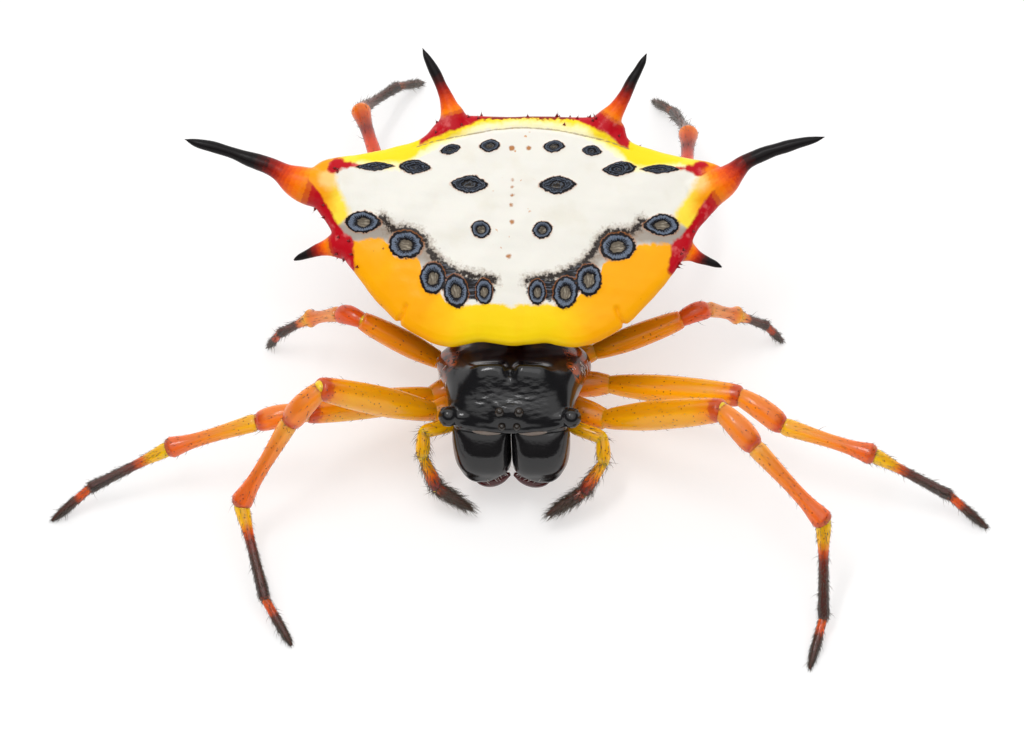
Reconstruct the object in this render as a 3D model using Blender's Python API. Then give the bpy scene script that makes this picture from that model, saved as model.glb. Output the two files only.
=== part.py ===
"""A spiny orb weaver at life size, standing wide-legged and looking toward -Y.

Its horny, six-spined abdomen is carried high over the head part and slopes up to the rear.
Lengths below are millimetres and angles are degrees. Every mesh is brought to metres as
its object is made. The floor is z = 0. The animal's left is +X.
"""

import math

import bmesh
import bpy
from mathutils import Matrix, Vector
from mathutils.bvhtree import BVHTree

MM = 0.001
GAP = 0.3
EYE_GAP = 0.04

# How the head part and the abdomen stand in the world
TURN = -2.5
LEAN = -3.0
HEAD_ORIGIN = (0.256, 0.0, 0.0)
SHIELD_ORIGIN = (-0.115, -1.8, 4.6)
SHIELD_PITCH = 15.0

# Abdomen: a flat horny shield over a blunt cone that ends in the spinnerets.
# The shield's outline is its right half, from the middle of the front edge to the rear.
SHIELD_OUTLINE = [
    (0.0, -0.02), (1.5, 0.0), (2.5, 0.2), (3.42, 0.87), (4.22, 1.8), (4.92, 2.8), (5.22, 3.5),
    (5.88, 4.35), (6.05, 4.8), (5.6, 5.35), (4.65, 5.55), (3.63, 5.8), (2.95, 6.05), (2.6, 6.55),
    (2.0, 6.72), (0.0, 6.71),
]
SHIELD_CENTRE = 3.5
# The rear of the shield stands a little to the animal's left: place along it, shift across
DRIFT = [(0.0, 0.07), (3.6, 0.03), (4.6, 0.04), (5.6, 0.22), (6.7, 0.45), (7.2, 0.53)]
# Each ring of the back: share of the outline, height
BACK_RINGS = [(0.3, 0.33), (0.58, 0.27), (0.8, 0.16), (0.93, 0.02), (1.0, -0.24)]
BACK_CROWN = 0.36
# Each ring of the belly: share of the width, front, rear, height, how round it has become
BELLY_RINGS = [
    (0.98, 0.08, 6.64, -0.52, 0.0),
    (0.9, 0.32, 6.4, -0.88, 0.1),
    (0.78, 0.8, 6.05, -1.35, 0.25),
    (0.62, 1.5, 5.6, -1.95, 0.5),
    (0.44, 2.15, 5.05, -2.6, 0.8),
    (0.29, 2.5, 4.65, -3.2, 1.0),
    (0.2, 2.65, 4.35, -3.65, 1.0),
]
SPINNERET_CENTRE = (0.0, 3.5, -3.65)

# Six spines: points of the middle line from the sunk root to the tip, and a radius at each
SPINES = {
    "long": (
        [(5.1, 4.45, -0.4), (6.05, 4.8, -0.22), (6.68, 5.28, -0.1), (7.5, 5.57, 0.02), (8.2, 5.76, 0.1), (9.01, 5.95, 0.2)],
        [0.5, 0.46, 0.28, 0.25, 0.2, 0.05],
    ),
    "rear": (
        [(2.05, 6.0, -0.45), (2.2, 6.6, -0.18), (2.45, 7.1, 0.02), (2.84, 7.86, 0.25), (3.16, 8.45, 0.45)],
        [0.45, 0.42, 0.25, 0.22, 0.05],
    ),
    "front": (
        [(4.5, 3.0, -0.45), (5.0, 2.92, -0.5), (5.48, 2.74, -0.62), (6.01, 2.56, -0.75)],
        [0.42, 0.36, 0.25, 0.05],
    ),
}
SPINE_SIDES = 8
# How far the tip of the animal's left spine lies from even: outward, and toward the rear.
# The right one lies as far off the other way, and the outer half of each is moved in full.
SPINE_SKEW = {"long": (-0.28, 0.12), "rear": (0.0, -0.06), "front": (-0.13, -0.04)}

# Scars on the back where muscles hold, as raised oval plates: across, along, half sizes
SCARS = [
    (0.74, 1.45, 0.23, 0.34), (1.53, 1.46, 0.32, 0.42), (2.18, 1.82, 0.33, 0.41),
    (2.94, 2.8, 0.48, 0.39), (4.17, 3.46, 0.5, 0.32), (0.86, 3.23, 0.29, 0.26),
    (1.24, 4.55, 0.5, 0.26), (1.99, 5.6, 0.26, 0.16), (0.9, 5.7, 0.28, 0.19),
    (2.86, 5.07, 0.42, 0.2), (4.0, 5.08, 0.46, 0.16),
]
SCAR_SIDES = 10
SCAR_HEIGHT = 0.09
SCAR_ROOT = 0.22

# Head part: cross sections of the carapace from the brow to the waist
# Each is the place along the body, the half width and the height of its top
CARAPACE_RINGS = [
    (-3.72, 1.0, 3.12), (-3.58, 1.5, 3.36), (-3.25, 1.7, 3.6), (-2.85, 1.78, 3.8),
    (-2.4, 1.85, 3.94), (-1.95, 2.0, 3.86), (-1.4, 2.18, 3.5), (-0.95, 2.02, 3.18),
    (-0.6, 1.55, 2.95), (-0.4, 1.05, 2.84),
]
CARAPACE_BOX = 0.55
BELLY_PLANE = 2.45
BELLY_PLANE_RISE = 0.12
WAIST = -0.4

# Bumps on the carapace: centre and half sizes, both mirrored to the other side
CREST_HUMP = ((0.72, -2.28, 3.62), (0.78, 0.6, 0.58))
EYE_HORN = ((1.68, -3.2, 3.2), (0.32, 0.34, 0.3))
BROW = ((0.0, -3.42, 3.3), (0.62, 0.42, 0.36))

# Eyes: centre and radius, one of each pair
EYES = {
    "eye_rear_middle": ((0.28, -3.5, 3.6), 0.14),
    "eye_front_middle": ((0.23, -3.78, 3.34), 0.12),
    "eye_front_side": ((1.86, -3.42, 3.14), 0.12),
    "eye_rear_side": ((1.94, -3.2, 3.34), 0.12),
}

# Sternum: the breastplate and what fills the body over it, half outline from the front
STERNUM_OUTLINE = [
    (0.0, -2.15), (0.55, -2.12), (0.86, -1.9), (1.05, -1.35), (0.98, -0.7), (0.7, -0.15), (0.0, 0.1),
]
STERNUM_RINGS = [(0.45, 1.2), (0.8, 1.26), (1.0, 1.45)]
STERNUM_CENTRE = -1.1

# Mouthparts: lip and jaw plates between the sternum and the fangs' bases
MOUTH_OUTLINE = [(0.0, -0.18), (0.5, -0.18), (0.85, -0.16), (0.98, 0.0), (0.85, 0.16), (0.5, 0.18), (0.0, 0.18)]
MOUTH_RINGS = [(0.6, 1.3, -2.9), (1.0, 1.42, -2.84), (1.0, 1.85, -2.68), (0.9, 2.1, -2.6)]

# Fang bases: stations down the middle line, with half width and half depth
CHELICERA_STATIONS = [
    ((0.86, -3.42, 2.4), 0.54, 0.34), ((0.9, -3.52, 2.2), 0.72, 0.46), ((0.92, -3.68, 1.93), 0.76, 0.52),
    ((0.93, -3.84, 1.6), 0.74, 0.52), ((0.94, -3.97, 1.3), 0.6, 0.42), ((0.92, -4.02, 1.16), 0.36, 0.26),
]
CHELICERA_SIDES = 12
CHELICERA_BOX = 0.8
FANG = [(1.15, -4.12, 0.72), (0.85, -4.25, 0.62), (0.5, -4.3, 0.66), (0.2, -4.22, 0.8)]
FANG_RADII = [0.24, 0.25, 0.18, 0.05]

# Waist and spinnerets
PEDICEL_ENDS = [(0.16, -0.07, 2.64), (0.12, 0.2, 2.68)]
PEDICEL_RADIUS = 0.27
SPINNERET_RING = (0.8, 0.3)
SPINNERETS = [((0.3, -0.26), 0.27, 0.55), ((0.28, 0.24), 0.25, 0.45), ((0.0, 0.56), 0.25, 0.25)]
SPINNERET_SLANT = 0.08

# Legs: lengths of femur, patella, tibia, metatarsus and tarsus for each pair
LEG_LENGTHS = {
    1: (4.1, 1.4, 2.85, 2.8, 1.5),
    2: (3.9, 1.5, 2.65, 2.55, 1.45),
    3: (2.65, 0.9, 1.15, 1.25, 0.9),
    4: (4.0, 1.4, 2.7, 2.1, 1.2),
}
# Radii along each segment, at its start, middle and end
LEG_RADII = {
    1: ((0.28, 0.3, 0.3), (0.28, 0.41, 0.34), (0.31, 0.33, 0.31), (0.25, 0.26, 0.29), (0.25,) * 3),
    2: ((0.28, 0.3, 0.29), (0.28, 0.38, 0.32), (0.29, 0.31, 0.3), (0.25, 0.26, 0.28), (0.25,) * 3),
    3: ((0.27, 0.29, 0.28), (0.27, 0.33, 0.28), (0.27, 0.28, 0.27), (0.25, 0.26, 0.25), (0.25,) * 3),
    4: ((0.28, 0.3, 0.29), (0.28, 0.37, 0.3), (0.28, 0.3, 0.28), (0.25, 0.25, 0.26), (0.25,) * 3),
}
TARSUS_RADII = (0.25, 0.25, 0.18)
CLAW_TIP_RADIUS = 0.14
FOOT_HEIGHT = 0.04
LEG_SIDES = 8
JOINT_ROUNDING = 0.36
# Where the hips meet the head part, and where each hip ends: the left ones, then the right
HIP_ROOTS = {1: (1.22, -2.02, 1.66), 2: (1.36, -1.3, 1.56), 3: (1.3, -0.56, 1.6), 4: (1.0, 0.14, 1.62)}
HIP_ENDS = {
    ("left", 1): (2.6, -2.6, 1.78), ("left", 2): (2.7, -1.25, 1.42),
    ("left", 3): (2.3, -0.32, 1.6), ("left", 4): (1.85, 0.45, 1.6),
    ("right", 1): (-2.2, -2.38, 1.8), ("right", 2): (-2.25, -1.6, 1.38),
    ("right", 3): (-1.95, -0.62, 1.55), ("right", 4): (-1.6, 0.3, 1.6),
}
# Yaw from straight ahead and pitch of each segment; the tarsus has a yaw alone,
# because its pitch is what brings the claws to the floor
LEG_POSE = {
    ("left", 1): ((72, 35), (44, -14), (50, -28), (1, -45), -16),
    ("left", 2): ((76, 14), (57, -12), (72, -4), (72, -25), 59),
    ("left", 3): ((103, 19), (114, -1), (106, -41), (102, -45), 79),
    ("left", 4): ((138, 27), (149, -6), (177, -26), (194, -40), 215),
    ("right", 1): ((77, 39), (58, -41), (44, -45), (-15, -18), -32),
    ("right", 2): ((69, 20), (83, -8), (82, -19), (71, -21), 58),
    ("right", 3): ((105, 29), (122, -22), (108, -39), (93, -46), 93),
    ("right", 4): ((157, 15), (153, -5), (166, -14), (215, -31), 231),
}

# Feelers: lengths of femur, patella, tibia and tarsus, and their pose
PALP_LENGTHS = (0.95, 0.7, 1.05, 1.2)
PALP_RADII = (0.26, 0.27, 0.25, 0.25, 0.25, 0.25, 0.24, 0.12)
PALP_ROOTS = {"left": (1.68, -2.92, 1.94), "right": (-1.64, -2.84, 1.92)}
PALP_POSE = {
    "left": ((65, 5), (5, -40), (-42, -35), (-62, -18)),
    "right": ((66, 15), (4, -40), (-34, -48), (-66, -24)),
}

SHELL_IVORY = (0.87, 0.83, 0.72, 1.0)
LEG_ORANGE = (0.9, 0.36, 0.03, 1.0)
BODY_BLACK = (0.012, 0.012, 0.015, 1.0)
FANG_RED = (0.1, 0.01, 0.01, 1.0)
BELLY_BROWN = (0.06, 0.03, 0.02, 1.0)
EYE_AMBER = (0.12, 0.1, 0.07, 1.0)


def turn_matrix(pitch=0.0):
    """The turn and lean of the body, with a pitch that raises the rear."""
    spin = Matrix.Rotation(math.radians(TURN), 4, "Z")
    roll = Matrix.Rotation(math.radians(LEAN), 4, "Y")
    return spin @ roll @ Matrix.Rotation(math.radians(pitch), 4, "X")


HEAD_FRAME = Matrix.Translation(HEAD_ORIGIN) @ turn_matrix()
SHIELD_FRAME = Matrix.Translation(SHIELD_ORIGIN) @ turn_matrix(SHIELD_PITCH)


def material(name, colour, roughness):
    """A plain glossy finish for one sub-part."""
    finish = bpy.data.materials.new(name)
    finish.use_nodes = True
    shader = finish.node_tree.nodes["Principled BSDF"]
    shader.inputs["Base Color"].default_value = colour
    shader.inputs["Roughness"].default_value = roughness
    return finish


def curve_through(points, steps, closed=False):
    """Points on a smooth curve through the given points, a few to each stretch."""
    points = [Vector(p) for p in points]
    count = len(points)
    spans = count if closed else count - 1
    found = []
    for span in range(spans):
        if closed:
            a, b, c, d = (points[(span + k) % count] for k in (-1, 0, 1, 2))
        else:
            b, c = points[span], points[span + 1]
            a = points[span - 1] if span else 2 * b - c
            d = points[span + 2] if span + 2 < count else 2 * c - b
        for step in range(steps):
            t = step / steps
            found.append(
                0.5 * (2 * b + (c - a) * t + (2 * a - 5 * b + 4 * c - d) * t**2 + (3 * b - a - 3 * c + d) * t**3)
            )
    if not closed:
        found.append(points[-1])
    return found


def mirrored_outline(half, steps):
    """A closed smooth outline from its right half, whose ends lie on the middle line."""
    left = [(-x, y) for x, y in half[-2:0:-1]]
    return [p.to_2d() for p in curve_through([(x, y, 0.0) for x, y in half + left], steps, closed=True)]


def skin_rings(rings):
    """A closed mesh over rings of like point counts, with a flat face at each end."""
    mesh = bmesh.new()
    rows = [[mesh.verts.new(point) for point in ring] for ring in rings]
    count = len(rings[0])
    for row, after in zip(rows, rows[1:]):
        for k in range(count):
            mesh.faces.new((row[k], row[(k + 1) % count], after[(k + 1) % count], after[k]))
    mesh.faces.new(list(reversed(rows[0])))
    mesh.faces.new(rows[-1])
    bmesh.ops.recalc_face_normals(mesh, faces=mesh.faces)
    return mesh


def tube(centres, radii, sides, depths=None, box=1.0):
    """A closed tube along a line of points. depths gives its half depth where that differs."""
    centres = [Vector(c) for c in centres]
    depths = depths or radii
    rings = []
    across = None
    for k, centre in enumerate(centres):
        ahead = centres[min(k + 1, len(centres) - 1)]
        behind = centres[max(k - 1, 0)]
        along = ((ahead - centre).normalized() + (centre - behind).normalized()).normalized()
        across = across or (Vector((1.0, 0.0, 0.0)) if abs(along.x) < 0.8 else Vector((0.0, 0.0, 1.0)))
        across = (across - along * across.dot(along)).normalized()
        deep = along.cross(across)
        ring = []
        for side in range(sides):
            angle = math.tau * side / sides
            c, s = math.cos(angle), math.sin(angle)
            wide = math.copysign(abs(c) ** box, c) * radii[k]
            tall = math.copysign(abs(s) ** box, s) * depths[k]
            ring.append(centre + across * wide + deep * tall)
        rings.append(ring)
    return skin_rings(rings)


def ball(centre, half_sizes, sides=12, rings=8):
    """A closed ellipsoid."""
    mesh = bmesh.new()
    bmesh.ops.create_uvsphere(mesh, u_segments=sides, v_segments=rings, radius=1.0)
    bmesh.ops.scale(mesh, vec=half_sizes, verts=mesh.verts)
    bmesh.ops.translate(mesh, vec=centre, verts=mesh.verts)
    return mesh


def make_object(name, mesh, frame, finish):
    """One named object from a mesh in millimetres, placed by its frame."""
    bmesh.ops.scale(mesh, vec=(MM, MM, MM), verts=mesh.verts)
    data = bpy.data.meshes.new(name)
    mesh.to_mesh(data)
    mesh.free()
    data.shade_smooth()
    data.set_sharp_from_angle(angle=math.radians(50))
    piece = bpy.data.objects.new(name, data)
    bpy.context.scene.collection.objects.link(piece)
    if finish:
        data.materials.append(finish)
    piece.matrix_world = frame if frame else Matrix.Identity(4)
    return piece


def in_metres(frame):
    """A frame with its place in metres."""
    placed = frame.copy()
    placed.translation = frame.translation * MM
    return placed


def largest_surface(data):
    """Keeps only the largest closed surface of a mesh."""
    mesh = bmesh.new()
    mesh.from_mesh(data)
    left = set(mesh.verts)
    groups = []
    while left:
        group = {left.pop()}
        edge = list(group)
        while edge:
            vert = edge.pop()
            for other in (e.other_vert(vert) for e in vert.link_edges):
                if other in left:
                    left.remove(other)
                    group.add(other)
                    edge.append(other)
        groups.append(group)
    groups.sort(key=len, reverse=True)
    bmesh.ops.delete(mesh, geom=[v for group in groups[1:] for v in group], context="VERTS")
    mesh.to_mesh(data)
    mesh.free()


def combine(base, meshes, operation, solver="EXACT"):
    """Joins closed meshes to a base, or cuts them from it, in one Boolean that is then applied."""
    group = bpy.data.collections.new(base.name + "_pieces")
    bpy.context.scene.collection.children.link(group)
    for number, mesh in enumerate(meshes):
        piece = make_object(f"{base.name}_{operation.lower()}_{number}", mesh, None, None)
        bpy.context.scene.collection.objects.unlink(piece)
        group.objects.link(piece)
    boolean = base.modifiers.new(operation.title(), "BOOLEAN")
    boolean.operation = operation
    boolean.operand_type = "COLLECTION"
    boolean.collection = group
    boolean.solver = solver
    graph = bpy.context.evaluated_depsgraph_get()
    joined = bpy.data.meshes.new_from_object(base.evaluated_get(graph))
    base.modifiers.clear()
    base.data = joined
    joined.name = base.name
    for piece in list(group.objects):
        bpy.data.objects.remove(piece)
    bpy.data.collections.remove(group)
    largest_surface(joined)
    joined.shade_smooth()
    joined.set_sharp_from_angle(angle=math.radians(50))


def belly_height(along):
    """The underside of the carapace, which rises a little toward the front."""
    return BELLY_PLANE + BELLY_PLANE_RISE * (WAIST - along)


def drifted(x, y, z):
    """A point of the abdomen, moved by the drift of its rear."""
    for (low, before), (high, after) in zip(DRIFT, DRIFT[1:]):
        if y < high:
            share = max(y - low, 0.0) / (high - low)
            return Vector((x + before + (after - before) * share, y, z))
    return Vector((x + DRIFT[-1][1], y, z))


def shield_rings():
    """Rings of the abdomen from the top of the back to the flat round the spinnerets."""
    outline = mirrored_outline(SHIELD_OUTLINE, 2)
    half_width = max(p.x for p in outline)
    length = SHIELD_OUTLINE[-1][1]
    middle = Vector((0.0, SHIELD_CENTRE))
    rings = [[drifted(*(middle + (p - middle) * 0.04), BACK_CROWN) for p in outline]]
    for share, height in BACK_RINGS:
        rings.append([drifted(*(middle + (p - middle) * share), height) for p in outline])
    for share, front, rear, height, roundness in BELLY_RINGS:
        ring = []
        for p in outline:
            across = p.x / half_width
            along = 2 * p.y / length - 1
            reach = math.hypot(across, along)
            across += (across / reach - across) * roundness
            along += (along / reach - along) * roundness
            ring.append(
                drifted(across * share * half_width, (front + rear) / 2 + along * (rear - front) / 2, height)
            )
        rings.append(ring)
    return rings


def spine_mesh(kind, side):
    """One spine, a curved taper whose root is sunk in the shield."""
    points, radii = SPINES[kind]
    outward, rearward = SPINE_SKEW[kind]
    line = []
    for k, (x, y, z) in enumerate(points):
        share = min(1.0, 2 * k / (len(points) - 1)) * side
        line.append(((x + outward * share) * side, y + rearward * share, z))
    if kind == "rear":
        line = [drifted(*p) for p in line]
    smooth = curve_through(line, 2)
    sizes = curve_through([(r, 0.0, 0.0) for r in radii], 2)
    return tube(smooth, [s.x for s in sizes], SPINE_SIDES)


def scar_mesh(surface, across, along, half_across, half_along):
    """One raised oval plate with a dimple, set square on the back."""
    place, normal, _, _ = surface.ray_cast(drifted(across, along, 5.0), Vector((0.0, 0.0, -1.0)))
    turn = Vector((0.0, 0.0, 1.0)).rotation_difference(normal).to_matrix().to_4x4()
    frame = Matrix.Translation(place) @ turn
    rings = []
    levels = [(1.0, -SCAR_ROOT), (1.0, 0.35 * SCAR_HEIGHT), (0.82, SCAR_HEIGHT), (0.5, 0.4 * SCAR_HEIGHT)]
    for share, height in levels:
        ring = []
        for side in range(SCAR_SIDES):
            angle = math.tau * side / SCAR_SIDES
            flat = Vector((half_across * math.cos(angle), half_along * math.sin(angle), 0.0)) * share
            ring.append(frame @ (flat + Vector((0.0, 0.0, height))))
        rings.append(ring)
    return skin_rings(rings)


def make_abdomen():
    """The shield and belly with their six spines and the scars of the back."""
    shell = material("abdomen_shell", SHELL_IVORY, 0.3)
    body = skin_rings(shield_rings())
    surface = BVHTree.FromBMesh(body)
    pieces = [spine_mesh(kind, side) for kind in SPINES for side in (1, -1)]
    for across, along, half_across, half_along in SCARS:
        for side in (1, -1):
            pieces.append(scar_mesh(surface, across * side, along, half_across, half_along))
    abdomen = make_object("abdomen", body, None, shell)
    combine(abdomen, pieces, "UNION")
    abdomen.matrix_world = in_metres(SHIELD_FRAME)


def make_spinnerets():
    """A low ring that carries two pairs of spinnerets and the tubercle behind them."""
    radius, height = SPINNERET_RING
    x, y, z = SPINNERET_CENTRE
    top = z - GAP
    centres = [(x, y, top), (x, y, top - 0.5 * height), (x, y, top - height)]
    base = tube(centres, [radius, radius * 0.96, radius * 0.75], 16)
    spinnerets = make_object("spinnerets", base, None, material("spinneret_brown", BELLY_BROWN, 0.4))
    cones = []
    for (across, along), size, length in SPINNERETS:
        for side in (1, -1) if across else (1,):
            low = top - height
            start = (x + across * side, y + along, low + 0.2)
            end = (x + (across - SPINNERET_SLANT) * side if across else x, y + along, low - length)
            middle = [(a + b) / 2 for a, b in zip(start, end)]
            cones.append(tube([start, middle, end], [size, size * 0.9, size * 0.35], 8))
    combine(spinnerets, cones, "UNION")
    spinnerets.matrix_world = in_metres(SHIELD_FRAME)


def carapace_ring(along, half_width, top):
    """One boxy cross section with a flat underside."""
    low = belly_height(along)
    ring = []
    for k in range(15):
        angle = math.pi * k / 14
        c, s = math.cos(angle), math.sin(angle)
        wide = math.copysign(abs(c) ** CARAPACE_BOX, c) * half_width
        ring.append(Vector((wide, along, low + abs(s) ** CARAPACE_BOX * (top - low))))
    for share in (-0.5, 0.0, 0.5):
        ring.append(Vector((share * half_width, along, low)))
    return ring


def make_carapace():
    """The head part's shell with its two humps, the brow, the eye horns and the eye sockets."""
    shell = material("carapace_black", BODY_BLACK, 0.2)
    carapace = make_object("carapace", skin_rings([carapace_ring(*r) for r in CARAPACE_RINGS]), None, shell)
    bumps = [ball(*BROW)]
    for (x, y, z), sizes in (CREST_HUMP, EYE_HORN):
        bumps += [ball((x * side, y, z), sizes) for side in (1, -1)]
    combine(carapace, bumps, "UNION")
    sockets = []
    for (x, y, z), radius in EYES.values():
        sockets += [ball((x * side, y, z), (radius + EYE_GAP,) * 3, 10, 6) for side in (1, -1)]
    combine(carapace, sockets, "DIFFERENCE")
    carapace.matrix_world = in_metres(HEAD_FRAME)


def make_eyes():
    """Eight small eyes, each a ball seated in its socket."""
    amber = material("eye_amber", EYE_AMBER, 0.05)
    for name, ((x, y, z), radius) in EYES.items():
        for word, side in (("left", 1), ("right", -1)):
            lens = ball((x * side, y, z), (radius,) * 3, 10, 6)
            make_object(f"{name}_{word}", lens, in_metres(HEAD_FRAME), amber)


def make_sternum():
    """The breastplate, with the body between the hips as one solid up to the carapace."""
    outline = mirrored_outline(STERNUM_OUTLINE, 2)
    middle = Vector((0.0, STERNUM_CENTRE))
    rings = []
    for share, height in STERNUM_RINGS:
        rings.append([Vector((*(middle + (p - middle) * share), height)) for p in outline])
    rings.append([Vector((*p, belly_height(p.y) - GAP)) for p in outline])
    finish = material("sternum_brown", BELLY_BROWN, 0.35)
    make_object("sternum", skin_rings(rings), in_metres(HEAD_FRAME), finish)


def make_mouthparts():
    """Lip and jaw plates, one block that slopes with the backs of the fang bases."""
    outline = mirrored_outline(MOUTH_OUTLINE, 2)
    rings = [[Vector((p.x * share, along + p.y * share, height)) for p in outline]
             for share, height, along in MOUTH_RINGS]
    finish = material("mouthpart_brown", BELLY_BROWN, 0.4)
    make_object("mouthparts", skin_rings(rings), in_metres(HEAD_FRAME), finish)


def make_jaws():
    """The two stout fang bases and the fangs folded under them."""
    black = material("chelicera_black", BODY_BLACK, 0.18)
    red = material("fang_red", FANG_RED, 0.15)
    for word, side in (("left", 1), ("right", -1)):
        centres = [(x * side, y, z) for (x, y, z), _, _ in CHELICERA_STATIONS]
        widths = [width for _, width, _ in CHELICERA_STATIONS]
        depths = [depth for _, _, depth in CHELICERA_STATIONS]
        base = tube(centres, widths, CHELICERA_SIDES, depths, CHELICERA_BOX)
        make_object(f"chelicera_{word}", base, in_metres(HEAD_FRAME), black)
        path = curve_through([(x * side, y, z) for x, y, z in FANG], 2)
        sizes = [s.x for s in curve_through([(r, 0.0, 0.0) for r in FANG_RADII], 2)]
        make_object(f"fang_{word}", tube(path, sizes, 8), in_metres(HEAD_FRAME), red)


def make_pedicel():
    """The narrow waist that joins the abdomen to the head part."""
    start, end = (Vector(p) for p in PEDICEL_ENDS)
    middle = (start + end) / 2
    waist = tube([start, middle, end], [PEDICEL_RADIUS, PEDICEL_RADIUS * 0.9, PEDICEL_RADIUS], 10)
    make_object("pedicel", waist, None, material("pedicel_brown", BELLY_BROWN, 0.4)).matrix_world = (
        Matrix.Identity(4)
    )


def aim(yaw, pitch, side):
    """A unit vector: yaw is turned outward from straight ahead, pitch is up from level."""
    yaw, pitch = math.radians(yaw), math.radians(pitch)
    return Vector((side * math.sin(yaw) * math.cos(pitch), -math.cos(yaw) * math.cos(pitch), math.sin(pitch)))


def limb_line(joints, radii):
    """Stations along a jointed limb: three to a segment and one in the bend of each joint."""
    centres = []
    sizes = []
    for k, (start, end) in enumerate(zip(joints, joints[1:])):
        length = (end - start).length
        trim = min(JOINT_ROUNDING, 0.3 * length)
        along = (end - start) / length
        first = start if k == 0 else start + along * trim
        last = end if k == len(joints) - 2 else end - along * trim
        if k:
            before = centres[-1]
            centres.append((before + first) / 4 + start / 2)
            sizes.append(0.97 * (sizes[-1] + radii[k][0]) / 2)
        centres += [first, (first + last) / 2, last]
        sizes += radii[k]
    return centres, sizes


def make_leg(pair, word, side, finish):
    """One leg from its hip to its claws, which stand on the floor on a small flat."""
    root = HEAD_FRAME @ Vector((HIP_ROOTS[pair][0] * side, *HIP_ROOTS[pair][1:]))
    joints = [root, Vector(HIP_ENDS[word, pair])]
    *aimed, tarsus_yaw = LEG_POSE[word, pair]
    for length, (yaw, pitch) in zip(LEG_LENGTHS[pair], aimed):
        joints.append(joints[-1] + aim(yaw, pitch, side) * length)
    tarsus = LEG_LENGTHS[pair][-1]
    drop = math.degrees(math.asin((FOOT_HEIGHT - joints[-1].z) / tarsus))
    joints.append(joints[-1] + aim(tarsus_yaw, drop, side) * tarsus)
    centres, sizes = limb_line(joints, (*LEG_RADII[pair], TARSUS_RADII))
    tip = (joints[-1] - joints[-2]).normalized() * CLAW_TIP_RADIUS
    tip.z = 0.0
    leg = tube([*centres, joints[-1] + tip], [*sizes, CLAW_TIP_RADIUS], LEG_SIDES)
    for vert in leg.verts:
        vert.co.z = max(vert.co.z, 0.0)
    make_object(f"leg_{pair}_{word}", leg, None, finish)


def make_palp(word, side, finish):
    """One feeler beside the fang bases."""
    joints = [Vector(PALP_ROOTS[word])]
    for length, (yaw, pitch) in zip(PALP_LENGTHS, PALP_POSE[word]):
        joints.append(joints[-1] + aim(yaw, pitch, side) * length)
    radii = [(a, (a + b) / 2, b) for a, b in zip(PALP_RADII[::2], PALP_RADII[1::2])]
    centres, sizes = limb_line(joints, radii)
    make_object(f"palp_{word}", tube(centres, sizes, 8), None, finish)


def make_limbs():
    """Eight legs and two feelers."""
    orange = material("leg_orange", LEG_ORANGE, 0.35)
    yellow = material("palp_yellow", LEG_ORANGE, 0.4)
    for word, side in (("left", 1), ("right", -1)):
        for pair in LEG_LENGTHS:
            make_leg(pair, word, side, orange)
        make_palp(word, side, yellow)


for old in list(bpy.data.objects):
    bpy.data.objects.remove(old, do_unlink=True)

make_abdomen()
make_spinnerets()
make_carapace()
make_eyes()
make_sternum()
make_mouthparts()
make_jaws()
make_pedicel()
make_limbs()
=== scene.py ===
import math

import bmesh
import bpy
import numpy as np
from mathutils import Matrix, Vector


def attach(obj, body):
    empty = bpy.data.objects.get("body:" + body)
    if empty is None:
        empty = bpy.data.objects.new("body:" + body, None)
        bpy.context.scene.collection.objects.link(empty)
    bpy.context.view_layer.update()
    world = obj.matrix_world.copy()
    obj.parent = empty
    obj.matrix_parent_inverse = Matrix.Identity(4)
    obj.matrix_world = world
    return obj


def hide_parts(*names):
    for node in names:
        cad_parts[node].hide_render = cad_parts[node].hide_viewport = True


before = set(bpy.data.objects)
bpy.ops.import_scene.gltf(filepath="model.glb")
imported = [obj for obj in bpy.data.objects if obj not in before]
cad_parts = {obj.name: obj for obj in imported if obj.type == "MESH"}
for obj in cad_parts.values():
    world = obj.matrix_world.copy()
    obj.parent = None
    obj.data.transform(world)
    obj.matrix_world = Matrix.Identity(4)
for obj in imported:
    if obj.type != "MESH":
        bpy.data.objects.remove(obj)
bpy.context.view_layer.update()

# View, floor and light
# The spider is seen from its front and above, in even light from a white surround, with a
# window and a thin strip of light over it. The floor is a plain white light table.
MM = 0.001
VIEW_DISTANCE = 0.2
VIEW_HEIGHT = math.radians(60)
VIEW_LENS = 246.1
ROOM_LIGHT = 1.15
ROOM_DARK = 0.12
camera_data = bpy.data.cameras.new("camera")
camera_data.lens = VIEW_LENS
camera_data.sensor_width = 36.0
camera_data.clip_start = 0.01
camera = bpy.data.objects.new("camera", camera_data)
camera.location = (0.0, -VIEW_DISTANCE * math.cos(VIEW_HEIGHT), VIEW_DISTANCE * math.sin(VIEW_HEIGHT))
camera.rotation_euler = (math.pi / 2 - VIEW_HEIGHT, 0.0, 0.0)
bpy.context.scene.collection.objects.link(camera)
bpy.context.scene.camera = camera
bpy.context.scene.view_settings.view_transform = "Standard"

# White all round but for a dark band round the front and the sides, which black horn mirrors
surround = bpy.data.worlds.new("surround")
surround.use_nodes = True
room = surround.node_tree
facing = room.nodes.new("ShaderNodeTexCoord").outputs["Generated"]
split = room.nodes.new("ShaderNodeSeparateXYZ")
room.links.new(facing, split.inputs[0])


def room_edge(axis, low, high):
    """Nought to one as the way one looks into the room passes between two heights."""
    edge = room.nodes.new("ShaderNodeMapRange")
    edge.interpolation_type = "SMOOTHSTEP"
    edge.inputs["From Min"].default_value = low
    edge.inputs["From Max"].default_value = high
    room.links.new(split.outputs[axis], edge.inputs["Value"])
    return edge.outputs[0]


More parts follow.
